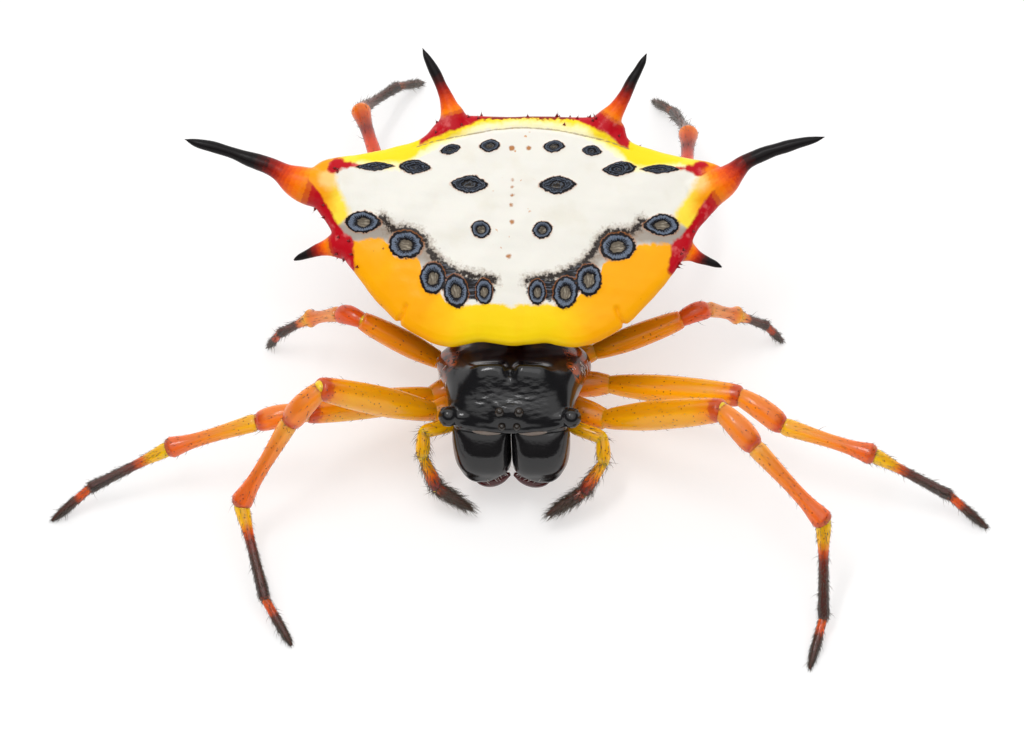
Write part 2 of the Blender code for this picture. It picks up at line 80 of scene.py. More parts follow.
ROOM_DARK_FRONT = (0.6, 0.35)
ROOM_DARK_HEIGHTS = ((0.1, 0.22), (0.76, 0.58))
dark = room_edge("Y", *ROOM_DARK_FRONT)
for low, high in ROOM_DARK_HEIGHTS:
    joined = room.nodes.new("ShaderNodeMath")
    joined.operation = "MULTIPLY"
    room.links.new(dark, joined.inputs[0])
    room.links.new(room_edge("Z", low, high), joined.inputs[1])
    dark = joined.outputs[0]
glow = room.nodes.new("ShaderNodeMapRange")
glow.inputs["To Min"].default_value = ROOM_LIGHT
glow.inputs["To Max"].default_value = ROOM_DARK
room.links.new(dark, glow.inputs["Value"])
room.nodes["Background"].inputs["Color"].default_value = (1.0, 1.0, 1.0, 1.0)
room.links.new(glow.outputs[0], room.nodes["Background"].inputs["Strength"])
bpy.context.scene.world = surround

FLOOR_SIZE = 2.0
FLOOR_TONE = (0.5, 0.5, 0.5, 1.0)
FLOOR_GLOW = 0.5
FLOOR_ROUGHNESS = 0.9
floor_mesh = bmesh.new()
bmesh.ops.create_grid(floor_mesh, x_segments=1, y_segments=1, size=FLOOR_SIZE / 2)
floor_data = bpy.data.meshes.new("floor")
floor_mesh.to_mesh(floor_data)
floor_mesh.free()
floor = bpy.data.objects.new("floor", floor_data)
bpy.context.scene.collection.objects.link(floor)
floor_finish = bpy.data.materials.new("floor_white")
floor_finish.use_nodes = True
floor_shader = floor_finish.node_tree.nodes["Principled BSDF"]
floor_shader.inputs["Base Color"].default_value = FLOOR_TONE
floor_shader.inputs["Emission Color"].default_value = (1.0, 1.0, 1.0, 1.0)
floor_shader.inputs["Emission Strength"].default_value = FLOOR_GLOW
floor_shader.inputs["Roughness"].default_value = FLOOR_ROUGHNESS
floor_data.materials.append(floor_finish)

LIGHT_TARGET = Vector((0.0, 0.0, 0.003))


def soft_light(name, place, size, power):
    """An oblong soft light that looks at the spider."""
    light = bpy.data.lights.new(name, "AREA")
    light.shape = "RECTANGLE"
    light.size, light.size_y = size
    light.energy = power
    lamp = bpy.data.objects.new(name, light)
    lamp.location = place
    lamp.rotation_euler = (LIGHT_TARGET - Vector(place)).to_track_quat("-Z", "Y").to_euler()
    bpy.context.scene.collection.objects.link(lamp)


soft_light("strip_light", (-0.06, 0.02, 0.23), (0.1, 0.02), 0.12)
soft_light("window_light", (0.03, -0.02, 0.26), (0.16, 0.16), 0.07)

# Abdomen
# A flat horny shield with a soft flank and a blunt belly, all one skin. Six hollow spines grow
# out of its corners, and pairs of raised oval scars mark where muscles hold it inside.
TURN = -2.5
LEAN = -3.0
SHIELD_PITCH = 15.0
body_turn = Matrix.Rotation(math.radians(TURN), 4, "Z") @ Matrix.Rotation(math.radians(LEAN), 4, "Y")
SHIELD_FRAME = (
    Matrix.Translation((-0.115, -1.8, 4.6)) @ body_turn @ Matrix.Rotation(math.radians(SHIELD_PITCH), 4, "X")
)
SHIELD_OUTLINE = [
    (0.0, 0.03), (0.5, 0.08), (0.95, 0.12), (1.35, 0.04), (1.8, 0.0), (2.5, 0.2), (3.42, 0.87),
    (4.22, 1.8), (4.92, 2.8), (5.22, 3.5), (5.88, 4.35), (6.05, 4.8), (5.6, 5.35), (4.65, 5.55),
    (3.63, 5.8), (2.95, 6.05), (2.6, 6.55), (2.0, 6.72), (0.0, 6.71),
]
# The rear of the shield stands a little to the animal's left: place along it, shift across
DRIFT = ([0.0, 3.6, 4.6, 5.6, 6.7, 7.2], [0.07, 0.03, 0.04, 0.22, 0.45, 0.53])
SHIELD_CENTRE = 3.5
BACK_CROWN = 0.36
BACK_RINGS = [
    (0.15, 0.352), (0.3, 0.33), (0.45, 0.305), (0.58, 0.27), (0.7, 0.225), (0.8, 0.16), (0.88, 0.085),
    (0.94, 0.0), (0.98, -0.1), (1.0, -0.24),
]
BELLY_RINGS = [
    (0.995, 0.03, 6.68, -0.38, 0.0),
    (0.97, 0.1, 6.62, -0.54, 0.0),
    (0.9, 0.32, 6.4, -0.88, 0.1),
    (0.78, 0.8, 6.05, -1.35, 0.25),
    (0.62, 1.5, 5.6, -1.95, 0.5),
    (0.44, 2.15, 5.05, -2.6, 0.8),
    (0.29, 2.5, 4.65, -3.2, 1.0),
    (0.2, 2.65, 4.35, -3.65, 1.0),
]
# Stations of each kind of spine from its sunk root to its tip: across, along, height, radius
# and the place of its colour on the ramp from yellow through red to black
SPINES = {
    "long": [
        (5.0, 4.5, -0.38, 0.6, 0.0), (5.55, 4.62, -0.3, 0.55, 0.06), (6.05, 4.82, -0.2, 0.44, 0.2),
        (6.4, 5.07, -0.14, 0.3, 0.34), (6.72, 5.28, -0.08, 0.235, 0.44), (7.15, 5.45, -0.03, 0.2, 0.56),
        (7.6, 5.6, 0.03, 0.172, 0.65), (8.2, 5.76, 0.1, 0.15, 0.8), (8.7, 5.87, 0.16, 0.1, 0.9),
        (9.01, 5.95, 0.2, 0.012, 1.0),
    ],
    "rear": [
        (2.0, 5.85, -0.5, 0.55, 0.0), (2.1, 6.3, -0.3, 0.5, 0.0), (2.22, 6.65, -0.15, 0.36, 0.06),
        (2.35, 6.9, -0.06, 0.25, 0.2), (2.46, 7.12, 0.02, 0.215, 0.28), (2.6, 7.4, 0.12, 0.175, 0.4),
        (2.75, 7.7, 0.2, 0.15, 0.52), (2.92, 8.0, 0.29, 0.12, 0.7), (3.06, 8.25, 0.38, 0.085, 0.85),
        (3.16, 8.45, 0.45, 0.012, 1.0),
    ],
    "front": [
        (4.5, 3.02, -0.46, 0.5, 0.0), (4.85, 2.96, -0.49, 0.4, 0.0), (5.12, 2.88, -0.54, 0.25, 0.16),
        (5.35, 2.8, -0.59, 0.17, 0.36), (5.6, 2.71, -0.64, 0.12, 0.5), (5.85, 2.62, -0.7, 0.08, 0.75),
        (6.01, 2.56, -0.75, 0.012, 1.0),
    ],
}
# How far the tip of the animal's left spine lies from even: outward, and toward the rear
SPINE_SKEW = {"long": (-0.28, 0.12), "rear": (0.0, -0.06), "front": (-0.13, -0.04)}
SPINE_SIDES = 28
HORN_RADIUS = 0.22
SKIN_VOXEL = 0.05
# Scars: across, along, half sizes, turn in degrees, how black the plate is, and how pointed
# its two ends are, the outer one first
SCARS = [
    (0.74, 1.45, 0.24, 0.36, 0, 0.0, 2.0, 2.0), (1.53, 1.45, 0.34, 0.46, -8, 0.0, 2.0, 2.0),
    (2.18, 1.82, 0.35, 0.45, -4, 0.0, 2.0, 2.0), (2.97, 2.79, 0.49, 0.4, 12, 0.0, 2.0, 2.0),
    (4.17, 3.46, 0.5, 0.31, 4, 0.0, 2.0, 1.45), (0.86, 3.23, 0.28, 0.25, 20, 0.25, 1.9, 1.9),
    (1.24, 4.55, 0.52, 0.27, 2, 0.85, 1.4, 1.5), (1.99, 5.6, 0.28, 0.16, -8, 0.9, 1.6, 1.6),
    (0.9, 5.7, 0.3, 0.2, 0, 0.6, 1.5, 1.5), (2.86, 5.07, 0.46, 0.22, 6, 1.0, 1.7, 1.3),
    (4.0, 5.08, 0.54, 0.15, 0, 1.0, 1.3, 1.3),
]
SCAR_RISE = 0.05
SCAR_PIT = 0.07
CREASE_DEPTH = 0.07
SWELLS = 0.018
RIPPLES = 0.006
# Edges of the zones of colour, each as two lists of places: the front and the rear edge of the
# ivory, its side, the inner edge of the crimson flank and the crease
IVORY_FRONT = (
    [
        0.0, 0.5, 0.74, 1.1, 1.47, 1.84, 1.97, 2.24, 2.44, 2.5, 2.56, 2.64, 3.0, 3.3, 3.4, 3.46, 3.58, 3.8,
        4.2, 4.46, 4.75,
    ],
    [
        1.04, 1.1, 1.1, 1.08, 1.04, 1.24, 1.4, 1.4, 1.58, 2.02, 2.26, 2.36, 2.42, 2.48, 2.66, 2.82, 2.96,
        2.99, 2.93, 2.9, 2.6,
    ],
)
IVORY_REAR = (
    [0.0, 0.9, 1.6, 2.07, 2.3, 2.58, 2.85, 3.06, 3.28, 3.62, 4.13, 4.9],
    [6.42, 6.36, 6.2, 5.92, 5.8, 5.64, 5.45, 5.2, 5.08, 5.07, 5.13, 5.2],
)
IVORY_SIDE = (
    [3.2, 3.4, 3.6, 3.88, 4.25, 4.54, 4.88, 5.1, 5.3],
    [5.4, 4.9, 4.55, 4.62, 4.82, 5.0, 5.1, 4.95, 4.6],
)
CRIMSON_FLANK = ([2.1, 2.4, 2.7, 3.1, 3.45, 3.85, 4.3, 4.7], [4.4, 4.4, 4.45, 4.66, 4.9, 5.16, 5.42, 5.8])
CREASE = ([0.0, 0.4, 0.93, 1.55, 2.1, 2.6, 3.0], [6.32, 6.31, 6.25, 6.11, 5.98, 5.88, 5.76])
# Grey smudges and the brown band on the ivory: lines of places across and along, and half widths
SMUDGES = [
    ([(4.85, 3.3), (4.4, 3.15), (3.95, 3.12), (3.5, 3.12)], 0.3),
    ([(2.8, 2.52), (2.45, 2.5), (2.3, 2.35)], 0.24),
]
INK_BAND = [
    (3.64, 3.56), (3.46, 3.32), (3.3, 3.2), (3.0, 3.24), (2.68, 3.16), (2.46, 2.94), (2.32, 2.66),
    (2.1, 2.36), (1.8, 2.16), (1.57, 2.02), (1.14, 1.88), (0.79, 1.84), (0.49, 1.76),
]
INK_FILL = [(2.15, 2.0), (1.78, 1.84), (1.53, 1.55), (1.1, 1.52), (0.75, 1.5)]
INK_BAND_HALF = 0.09
INK_FILL_HALF = 0.3
# Small tan specks on the ivory: across from the middle, along, and size
SPECKS = [
    (-0.03, 5.65, 0.08), (0.44, 5.66, 0.08), (0.01, 4.48, 0.05), (0.03, 4.24, 0.05), (0.0, 3.95, 0.05),
    (0.04, 3.45, 0.07), (-0.02, 2.47, 0.07), (0.02, 4.7, 0.04),
]


def curve_through(points, steps, closed=False):
    """Points on a smooth curve through the given points, a few to each stretch."""
    points = [Vector(p) for p in points]
    count = len(points)
    found = []
    for span in range(count if closed else count - 1):
        if closed:
            a, b, c, d = (points[(span + k) % count] for k in (-1, 0, 1, 2))
        else:
            b, c = points[span], points[span + 1]
            a = points[span - 1] if span else 2 * b - c
            d = points[span + 2] if span + 2 < count else 2 * c - b
        for step in range(steps):
            t = step / steps
            bent = (2 * a - 5 * b + 4 * c - d) * t**2
            found.append(0.5 * (2 * b + (c - a) * t + bent + (3 * b - a - 3 * c + d) * t**3))
    if not closed:
        found.append(points[-1])
    return found


def smooth_values(values, steps):
    """Numbers on a smooth curve through the given ones."""
    return [max(p.x, 0.008) for p in curve_through([(v, 0.0, 0.0) for v in values], steps)]


def mirrored_outline(half, steps):
    """A closed smooth outline from its right half, whose ends lie on the middle line."""
    left = [(-x, y) for x, y in half[-2:0:-1]]
    return [p.to_2d() for p in curve_through([(x, y, 0.0) for x, y in half + left], steps, closed=True)]


def add_rings(mesh, rings):
    """Adds a closed skin over rings of like point counts, with a flat face at each end."""
    rows = [[mesh.verts.new(point) for point in ring] for ring in rings]
    count = len(rings[0])
    faces = []
    for row, after in zip(rows, rows[1:]):
        for k in range(count):
            faces.append(mesh.faces.new((row[k], row[(k + 1) % count], after[(k + 1) % count], after[k])))
    faces.append(mesh.faces.new(list(reversed(rows[0]))))
    faces.append(mesh.faces.new(rows[-1]))
    bmesh.ops.recalc_face_normals(mesh, faces=faces)
    return rows


def tube_rings(centres, radii, sides):
    """Rings square to a line of points."""
    rings = []
    across = None
    for k, centre in enumerate(centres):
        ahead = centres[min(k + 1, len(centres) - 1)]
        behind = centres[max(k - 1, 0)]
        along = ((ahead - centre).normalized() + (centre - behind).normalized()).normalized()
        across = across or (Vector((1.0, 0.0, 0.0)) if abs(along.x) < 0.8 else Vector((0.0, 0.0, 1.0)))
        across = (across - along * across.dot(along)).normalized()
        deep = along.cross(across)
        ring = []
        for side in range(sides):
            c, s = math.cos(math.tau * side / sides), math.sin(math.tau * side / sides)
            ring.append(centre + across * (c * radii[k]) + deep * (s * radii[k]))
        rings.append(ring)
    return rings


def add_ball(mesh, centre, half_sizes, sides=32):
    """Adds a closed ellipsoid, whose points and faces come in the same order at each run."""
    levels = sides // 2
    rows = []
    for level in range(levels + 1):
        tilt = math.pi * level / levels
        row = []
        for k in range(sides if 0 < level < levels else 1):
            turn = math.tau * k / sides
            unit = (math.sin(tilt) * math.cos(turn), math.sin(tilt) * math.sin(turn), math.cos(tilt))
            row.append(mesh.verts.new([c + h * u for c, h, u in zip(centre, half_sizes, unit)]))
        rows.append(row)
    for row, after in zip(rows, rows[1:]):
        for k in range(sides):
            high, next_high = row[k % len(row)], row[(k + 1) % len(row)]
            low, next_low = after[k % len(after)], after[(k + 1) % len(after)]
            mesh.faces.new(list(dict.fromkeys((high, low, next_low, next_high))))
    return [vert for row in rows for vert in row]


def as_data(name, mesh):
    """Mesh data from a bmesh, which is then freed."""
    data = bpy.data.meshes.new(name)
    mesh.to_mesh(data)
    mesh.free()
    return data


def one_skin(name, mesh, voxel, rounds):
    """One seamless skin over overlapping closed forms, softened a little."""
    data = as_data(name + "_forms", mesh)
    helper = bpy.data.objects.new(name, data)
    bpy.context.scene.collection.objects.link(helper)
    remesh = helper.modifiers.new("skin", "REMESH")
    remesh.mode = "VOXEL"
    remesh.voxel_size = voxel
    soften = helper.modifiers.new("soften", "SMOOTH")
    soften.factor = 0.5
    soften.iterations = rounds
    graph = bpy.context.evaluated_depsgraph_get()
    skin = bpy.data.meshes.new_from_object(helper.evaluated_get(graph))
    bpy.data.objects.remove(helper)
    bpy.data.meshes.remove(data)
    skin.name = name
    return skin


def read_points(data):
    """The vertices of a mesh as an array."""
    flat = np.empty(len(data.vertices) * 3)
    data.vertices.foreach_get("co", flat)
    return flat.reshape(-1, 3)


def read_normals(data):
    """The vertex normals of a mesh as an array."""
    flat = np.empty(len(data.vertices) * 3)
    data.vertex_normals.foreach_get("vector", flat)
    return flat.reshape(-1, 3)


def write_points(data, points):
    """Puts the vertices of a mesh at the given points."""
    data.vertices.foreach_set("co", np.ascontiguousarray(points, dtype=np.float32).ravel())
    data.update()


def write_value(data, name, values):
    """Keeps a number or a vector at each vertex for the finish to read."""
    values = np.asarray(values, np.float32)
    made = data.attributes.new(name, "FLOAT" if values.ndim == 1 else "FLOAT_VECTOR", "POINT")
    made.data.foreach_set("value" if values.ndim == 1 else "vector", values.ravel())


def place_piece(name, data, world, finish, nodes=()):
    """Brings a mesh from millimetres in its own frame to its place, as one finished piece."""
    data.transform(Matrix.Scale(MM, 4) @ world)
    data.materials.clear()
    data.materials.append(finish.material)
    data.shade_smooth()
    piece = bpy.data.objects.new(name, data)
    bpy.context.scene.collection.objects.link(piece)
    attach(piece, "root")
    if nodes:
        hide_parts(*nodes)
    return piece


def blend_step(low, high, values):
    """A smooth step from 0 at low to 1 at high."""
    t = np.clip((values - low) / (high - low), 0.0, 1.0)
    return t * t * (3 - 2 * t)


def from_line(points, corners):
    """Distance of each point, seen from above, to a line through the corners."""
    nearest = np.full(len(points), np.inf)
    for a, b in zip(corners, corners[1:]):
        a, b = np.array(a), np.array(b)
        t = np.clip(((points - a) @ (b - a)) / ((b - a) @ (b - a)), 0.0, 1.0)
        nearest = np.minimum(nearest, np.linalg.norm(points - a - t[:, None] * (b - a), axis=1))
    return nearest


def waves(points, size, seed, rounds=5):
    """Soft random swells between about -1 and 1, each about size millimetres across."""
    draw = np.random.default_rng(seed)
    total = np.zeros(len(points))
    for _ in range(rounds):
        direction = draw.normal(size=3)
        direction /= np.linalg.norm(direction)
        swell = points @ direction * (math.tau / size) * draw.uniform(0.7, 1.3)
        total += np.sin(swell + draw.uniform(0, math.tau))
    return total / rounds**0.5 / 1.4


def tone(red, green, blue):
    """A colour from its screen values, 0 to 255."""
    shares = [v / 255 for v in (red, green, blue)]
    return (*[s / 12.92 if s < 0.04045 else ((s + 0.055) / 1.055) ** 2.4 for s in shares], 1.0)


def add_node(tree, kind, sockets, **settings):
    """Adds a node, with the given settings and each socket set to a value or linked."""
    made = tree.nodes.new(kind)
    for name, value in settings.items():
        setattr(made, name, value)
    for name, value in sockets.items():
        if isinstance(value, bpy.types.NodeSocket):
            tree.links.new(value, made.inputs[name])
        else:
            made.inputs[name].default_value = value
    return made


class Finish:
    """A surface finish, whose colour and relief are worked out by its nodes."""

    def __init__(self, name, roughness=0.4, glow=0.0, depth=0.3, specular=0.5):
        self.material = bpy.data.materials.new(name)
        self.material.use_nodes = True
        self.tree = self.material.node_tree
        self.shader = self.tree.nodes["Principled BSDF"]
        self.shader.inputs["Roughness"].default_value = roughness
        self.shader.inputs["Specular IOR Level"].default_value = specular
        if glow:
            self.shader.inputs["Subsurface Weight"].default_value = glow
            self.shader.inputs["Subsurface Radius"].default_value = (1.0, 0.5, 0.25)
            self.shader.inputs["Subsurface Scale"].default_value = depth * MM

    def node(self, kind, sockets, **settings):
        return add_node(self.tree, kind, sockets, **settings)

    def read(self, name, output="Fac"):
        return self.node("ShaderNodeAttribute", {}, attribute_name=name).outputs[output]

    def place(self, stretch=(1.0, 1.0, 1.0)):
        """Place on the piece in millimetres."""
        scale = tuple(s / MM for s in stretch)
        coords = self.node("ShaderNodeTexCoord", {}).outputs["Object"]
        return self.node("ShaderNodeVectorMath", {0: coords, 1: scale}, operation="MULTIPLY").outputs[0]

    def noise(self, size, detail=2.0, where=None):
        """Cloudy noise round 0.5, with lumps about size millimetres across."""
        sockets = {"Vector": where or self.place(), "Scale": 1.0 / size, "Detail": detail}
        return self.node("ShaderNodeTexNoise", sockets).outputs["Fac"]

    def cells(self, size):
        """Distance to the nearest of points scattered about size millimetres apart."""
        sockets = {"Vector": self.place(), "Scale": 1.0 / size}
        return self.node("ShaderNodeTexVoronoi", sockets).outputs["Distance"]

    def number(self, operation, a, b=0.0):
        return self.node("ShaderNodeMath", {0: a, 1: b}, operation=operation).outputs[0]

    def plus(self, a, b):
        return self.number("ADD", a, b)

    def minus(self, a, b):
        return self.number("SUBTRACT", a, b)

    def times(self, a, b):
        return self.number("MULTIPLY", a, b)

    def waver(self, size, detail=3.0):
        """Cloudy noise round nought, which makes an edge ragged."""
        return self.minus(self.noise(size, detail), 0.5)

    def step(self, low, high, value):
        sockets = {"Value": value, "From Min": low, "From Max": high}
        return self.node("ShaderNodeMapRange", sockets, interpolation_type="SMOOTHSTEP").outputs[0]

    def mix(self, share, a, b):
        return self.node("ShaderNodeMix", {0: share, 6: a, 7: b}, data_type="RGBA").outputs[2]

    def ramp(self, value, stops):
        made = self.node("ShaderNodeValToRGB", {"Fac": value})
        line = made.color_ramp.elements
        while len(line) < len(stops):
            line.new(1.0)
        for element, (position, colour) in zip(line, stops):
            element.position = position
            element.color = colour
        return made.outputs["Color"]

    def paint(self, colour):
        self.tree.links.new(colour, self.shader.inputs["Base Color"])

    def relief(self, height, depth, strength):
        bump = self.node("ShaderNodeBump", {"Height": height, "Distance": depth * MM, "Strength": strength})
        self.tree.links.new(bump.outputs[0], self.shader.inputs["Normal"])


def drifted(x, y, z):
    """A point of the abdomen, moved by the drift of its rear."""
    return Vector((x + float(np.interp(y, *DRIFT)), y, z))


def shield_rings(steps):
    """Rings of the abdomen from the top of the back to the flat round the spinnerets."""
    outline = mirrored_outline(SHIELD_OUTLINE, steps)
    half_width = max(p.x for p in outline)
    length = SHIELD_OUTLINE[-1][1]
    middle = Vector((0.0, SHIELD_CENTRE))
    rings = [[drifted(*(middle + (p - middle) * 0.03), BACK_CROWN) for p in outline]]
    for share, height in BACK_RINGS:
        rings.append([drifted(*(middle + (p - middle) * share), height) for p in outline])
    for share, front, rear, height, roundness in BELLY_RINGS:
        ring = []
        for p in outline:
            across = p.x / half_width
            along = 2 * p.y / length - 1
            reach = math.hypot(across, along)
            across += (across / reach - across) * roundness
            along += (along / reach - along) * roundness
            ring.append(
                drifted(across * share * half_width, (front + rear) / 2 + along * (rear - front) / 2, height)
            )
        rings.append(ring)
    return rings


def spine_line(kind, side):
    """Middle line, radii and colour places of one spine."""
    outward, rearward = SPINE_SKEW[kind]
    stations = SPINES[kind]
    line = []
    for k, (x, y, z, _, _) in enumerate(stations):
        share = min(1.0, 2 * k / (len(stations) - 1)) * side
        line.append(((x + outward * share) * side, y + rearward * share, z))
    if kind == "rear":
        line = [drifted(*p) for p in line]
    radii = smooth_values([r for _, _, _, r, _ in stations], 4)
    colours = smooth_values([c for _, _, _, _, c in stations], 4)
    return curve_through(line, 4), radii, colours


spines = [spine_line(kind, side) for kind in SPINES for side in (1, -1)]
abdomen_form = bmesh.new()
add_rings(abdomen_form, shield_rings(6))
for line, radii, _ in spines:
    add_rings(abdomen_form, tube_rings(line, radii, SPINE_SIDES))
abdomen_skin = one_skin("abdomen_skin", abdomen_form, SKIN_VOXEL, 5)

# The outer part of each spine is finer than the skin's own grain, so it is a horn of its own
horns = bmesh.new()
horns.from_mesh(abdomen_skin)
for line, radii, _ in spines:
    first = next(k for k, r in enumerate(radii) if r < HORN_RADIUS)
    sizes = [0.88 * radii[first], 0.97 * radii[first + 1], *radii[first + 2:]]
    add_rings(horns, tube_rings(line[first:], sizes, SPINE_SIDES))
horns.to_mesh(abdomen_skin)
horns.free()

skin = read_points(abdomen_skin)
outward = read_normals(abdomen_skin)
along, height = skin[:, 1], skin[:, 2]
from_middle = skin[:, 0] - np.interp(along, *DRIFT)
across = np.abs(from_middle)
on_back = blend_step(0.15, 0.5, outward[:, 2]) * blend_step(-0.5, -0.3, height)

# Scars: each raises a rim round a pit, and gives flat coordinates along and across itself. The
# reach is nought in the middle of a scar and one at its edge
rise = np.zeros(len(skin))
scar_reach = np.full(len(skin), 9.0)
scar_place = np.zeros((len(skin), 3))
for x, y, half_across, half_along, turn, black, outer_end, inner_end in SCARS:
    for side in (1, -1):
        c, s = math.cos(math.radians(turn * side)), math.sin(math.radians(turn * side))
        dx, dy = from_middle - x * side, along - y
        u = (dx * c + dy * s) / half_across
        v = (dy * c - dx * s) / half_along
        power = np.where(u * side > 0, outer_end, inner_end)
        reach = (np.abs(u) ** power + np.abs(v) ** power) ** (1 / power)
        reach = np.where(height > -0.6, reach, 9.0)
        rise += on_back * SCAR_RISE * np.exp(-(((reach - 0.78) / 0.24) ** 2))
        rise -= on_back * SCAR_PIT * np.exp(-((reach / 0.42) ** 2)) * (1 - 0.5 * black)
        short, long = (u, v) if half_along > half_across else (v, u)
        near = reach < scar_reach
        scar_reach[near] = reach[near]
        scar_place[near] = np.stack([short, long, np.full(len(u), black)], axis=1)[near]

# The crease near the rear edge, the swollen golden corners and soft swells of the horn
crease_line = from_line(np.stack([across, along], axis=1), list(zip(*CREASE)))
rise -= on_back * CREASE_DEPTH * np.exp(-((crease_line / 0.07) ** 2))
rise += on_back * 0.05 * np.exp(-((across - 3.0) ** 2 / 0.5 + (along - 1.7) ** 2 / 0.35))
rise -= on_back * 0.05 * np.exp(-((across - 3.55) ** 2 / 0.35 + (along - 3.0) ** 2 / 0.12))
rise += SWELLS * waves(skin, 1.3, 3) + RIPPLES * waves(skin, 0.45, 4, 9)
# A slit runs in from the front edge beside each golden corner
slit = from_line(np.stack([across, along], axis=1), [(3.2, 0.62), (3.02, 0.86), (2.95, 1.05)])
rise -= 0.09 * np.exp(-((slit / 0.06) ** 2)) * blend_step(-0.7, -0.5, height)
write_points(abdomen_skin, skin + outward * rise[:, None])

# How far along a spine each point of the skin lies, by its colour, and how surely it is on one
spine_colour = np.zeros(len(skin))
spine_share = np.zeros(len(skin))
for line, radii, colours in spines:
    reach = np.linalg.norm(skin[:, None] - np.array([tuple(p) for p in line])[None], axis=2)
    nearest = np.argmin(reach, axis=1)
    past_spine = reach[np.arange(len(skin)), nearest] - np.array(radii)[nearest]
    near = past_spine < 0.5
    share = 1 - blend_step(0.03, 0.16, past_spine)
    place = np.array(colours)[nearest]
    spine_colour = np.where(near, np.maximum(spine_colour, place), spine_colour)
    spine_share = np.maximum(spine_share, share * blend_step(0.05, 0.15, place))
# The crimson: the flank itself, blots at the roots of its two spines, a streak that runs inward
# from the long one and the pedestal of the rear spine
flat_place = np.stack([across, along], axis=1)
flank = across - np.interp(along, *CRIMSON_FLANK)
flank = np.minimum(flank, np.minimum(along - 2.15, 4.75 - along))
for x, y, size in ((5.14, 5.16, 0.24), (4.82, 2.82, 0.36)):
    flank = np.maximum(flank, size - np.hypot(across - x, along - y))
flank = np.maximum(flank, 0.1 - from_line(flat_place, [(4.78, 5.14), (5.2, 5.14)]))
flank = np.maximum(flank, 0.05 - from_line(flat_place, [(4.45, 5.12), (4.8, 5.13)]))
pedestal = (across - 2.35) * 0.42 + (along - 6.07) * 0.91
pedestal = np.minimum(pedestal, np.minimum(2.95 - across, across - 1.1))
flank = np.maximum(flank, np.where(along > 5.5, pedestal, -1.0))
# Specks and smudges: distance inside the nearest
specks = np.maximum.reduce([size - np.hypot(skin[:, 0] - x, skin[:, 1] - y) for x, y, size in SPECKS])
smudge = np.maximum.reduce([size - from_line(flat_place, line) for line, size in SMUDGES])
# What the finish reads. An edge's value is the distance in millimetres inside its zone
for name, values in {
    "spine": spine_colour,
    "on_spine": spine_share,
    "scar": scar_reach,
    "scar_place": scar_place,
    "front_edge": np.interp(across, *IVORY_FRONT) - along,
    "rear_edge": along - np.interp(across, *IVORY_REAR),
    "side_edge": across - np.interp(along, *IVORY_SIDE),
    "corner": blend_step(0.9, 2.7, across) + 0.5 * blend_step(0.0, -0.6, height),
    "crimson": flank,
    "cone": np.minimum(across - 5.2, along - 4.0) + 0.1,
    "peach": 0.28 - np.hypot(across - 5.2, along - 4.72),
    "rear_line": np.minimum(along - 6.58, 1.6 - across),
    "specks": specks,
    "smudge": smudge,
    "ink": INK_BAND_HALF - from_line(flat_place, INK_BAND),
    "ink_fill": INK_FILL_HALF - from_line(flat_place, INK_FILL),
    "middle": 0.55 - across,
    "belly": -height,
    "crease": crease_line,
}.items():
    write_value(abdomen_skin, name, values)

IVORY = tone(236, 233, 224)
IVORY_SHADE = tone(224, 218, 200)
CREAM = tone(253, 246, 196)
REAR_YELLOW = tone(253, 222, 34)
FRONT_YELLOW = tone(253, 214, 18)
FRONT_ORANGE = tone(255, 190, 8)
DEEP_ORANGE = tone(254, 172, 6)
CRIMSON = tone(188, 14, 30)
PINK = tone(222, 104, 104)
SMUDGE = tone(150, 138, 126)
INK = tone(24, 22, 26)
SCAR_BLUE = tone(92, 102, 118)
SCAR_BROWN = tone(116, 106, 92)
BELLY_BROWN = tone(44, 24, 18)

shell = Finish("abdomen_shell", roughness=0.3, glow=0.04, depth=0.25, specular=0.12)
ripple = shell.waver(0.5)
fine = shell.waver(0.12)
grain = shell.waver(0.05, 2.0)
both = shell.times
edge_noise = shell.plus(both(ripple, 0.3), both(fine, 0.16))
ragged = shell.plus(both(fine, 0.4), both(grain, 0.22))


def zone(name, offset, softness, noise=edge_noise):
    """How far a point lies inside a zone whose edge wavers."""
    value = shell.plus(shell.plus(shell.read(name), noise), offset)
    return shell.step(-softness, softness, value)


# The ivory, with tan dots down its middle, grey smudges, specks and the brown band
colour = shell.mix(both(shell.step(0.5, 0.75, shell.noise(0.9, 4.0)), 0.35), IVORY, IVORY_SHADE)
tan_dots = both(shell.step(0.26, 0.16, shell.cells(0.2)), zone("middle", 0.0, 0.2))
colour = shell.mix(both(tan_dots, shell.step(0.6, 0.66, shell.noise(0.3, 2.0))), colour, tone(214, 164, 120))
colour = shell.mix(both(zone("smudge", 0.0, 0.22), 0.85), colour, SMUDGE)
colour = shell.mix(zone("specks", 0.0, 0.03, both(fine, 0.1)), colour, tone(182, 124, 76))
colour = shell.mix(both(zone("ink", 0.1, 0.1, ragged), 0.5), colour, tone(140, 116, 94))
colour = shell.mix(zone("ink", 0.0, 0.05, both(ragged, 0.8)), colour, tone(46, 38, 34))
streaks = shell.step(0.5, 0.6, shell.noise(1.0, 2.0, where=shell.place((3.0, 22.0, 22.0))))
fill = shell.mix(streaks, INK, tone(88, 92, 102))
colour = shell.mix(zone("ink_fill", 0.0, 0.05, both(ragged, 0.6)), colour, fill)
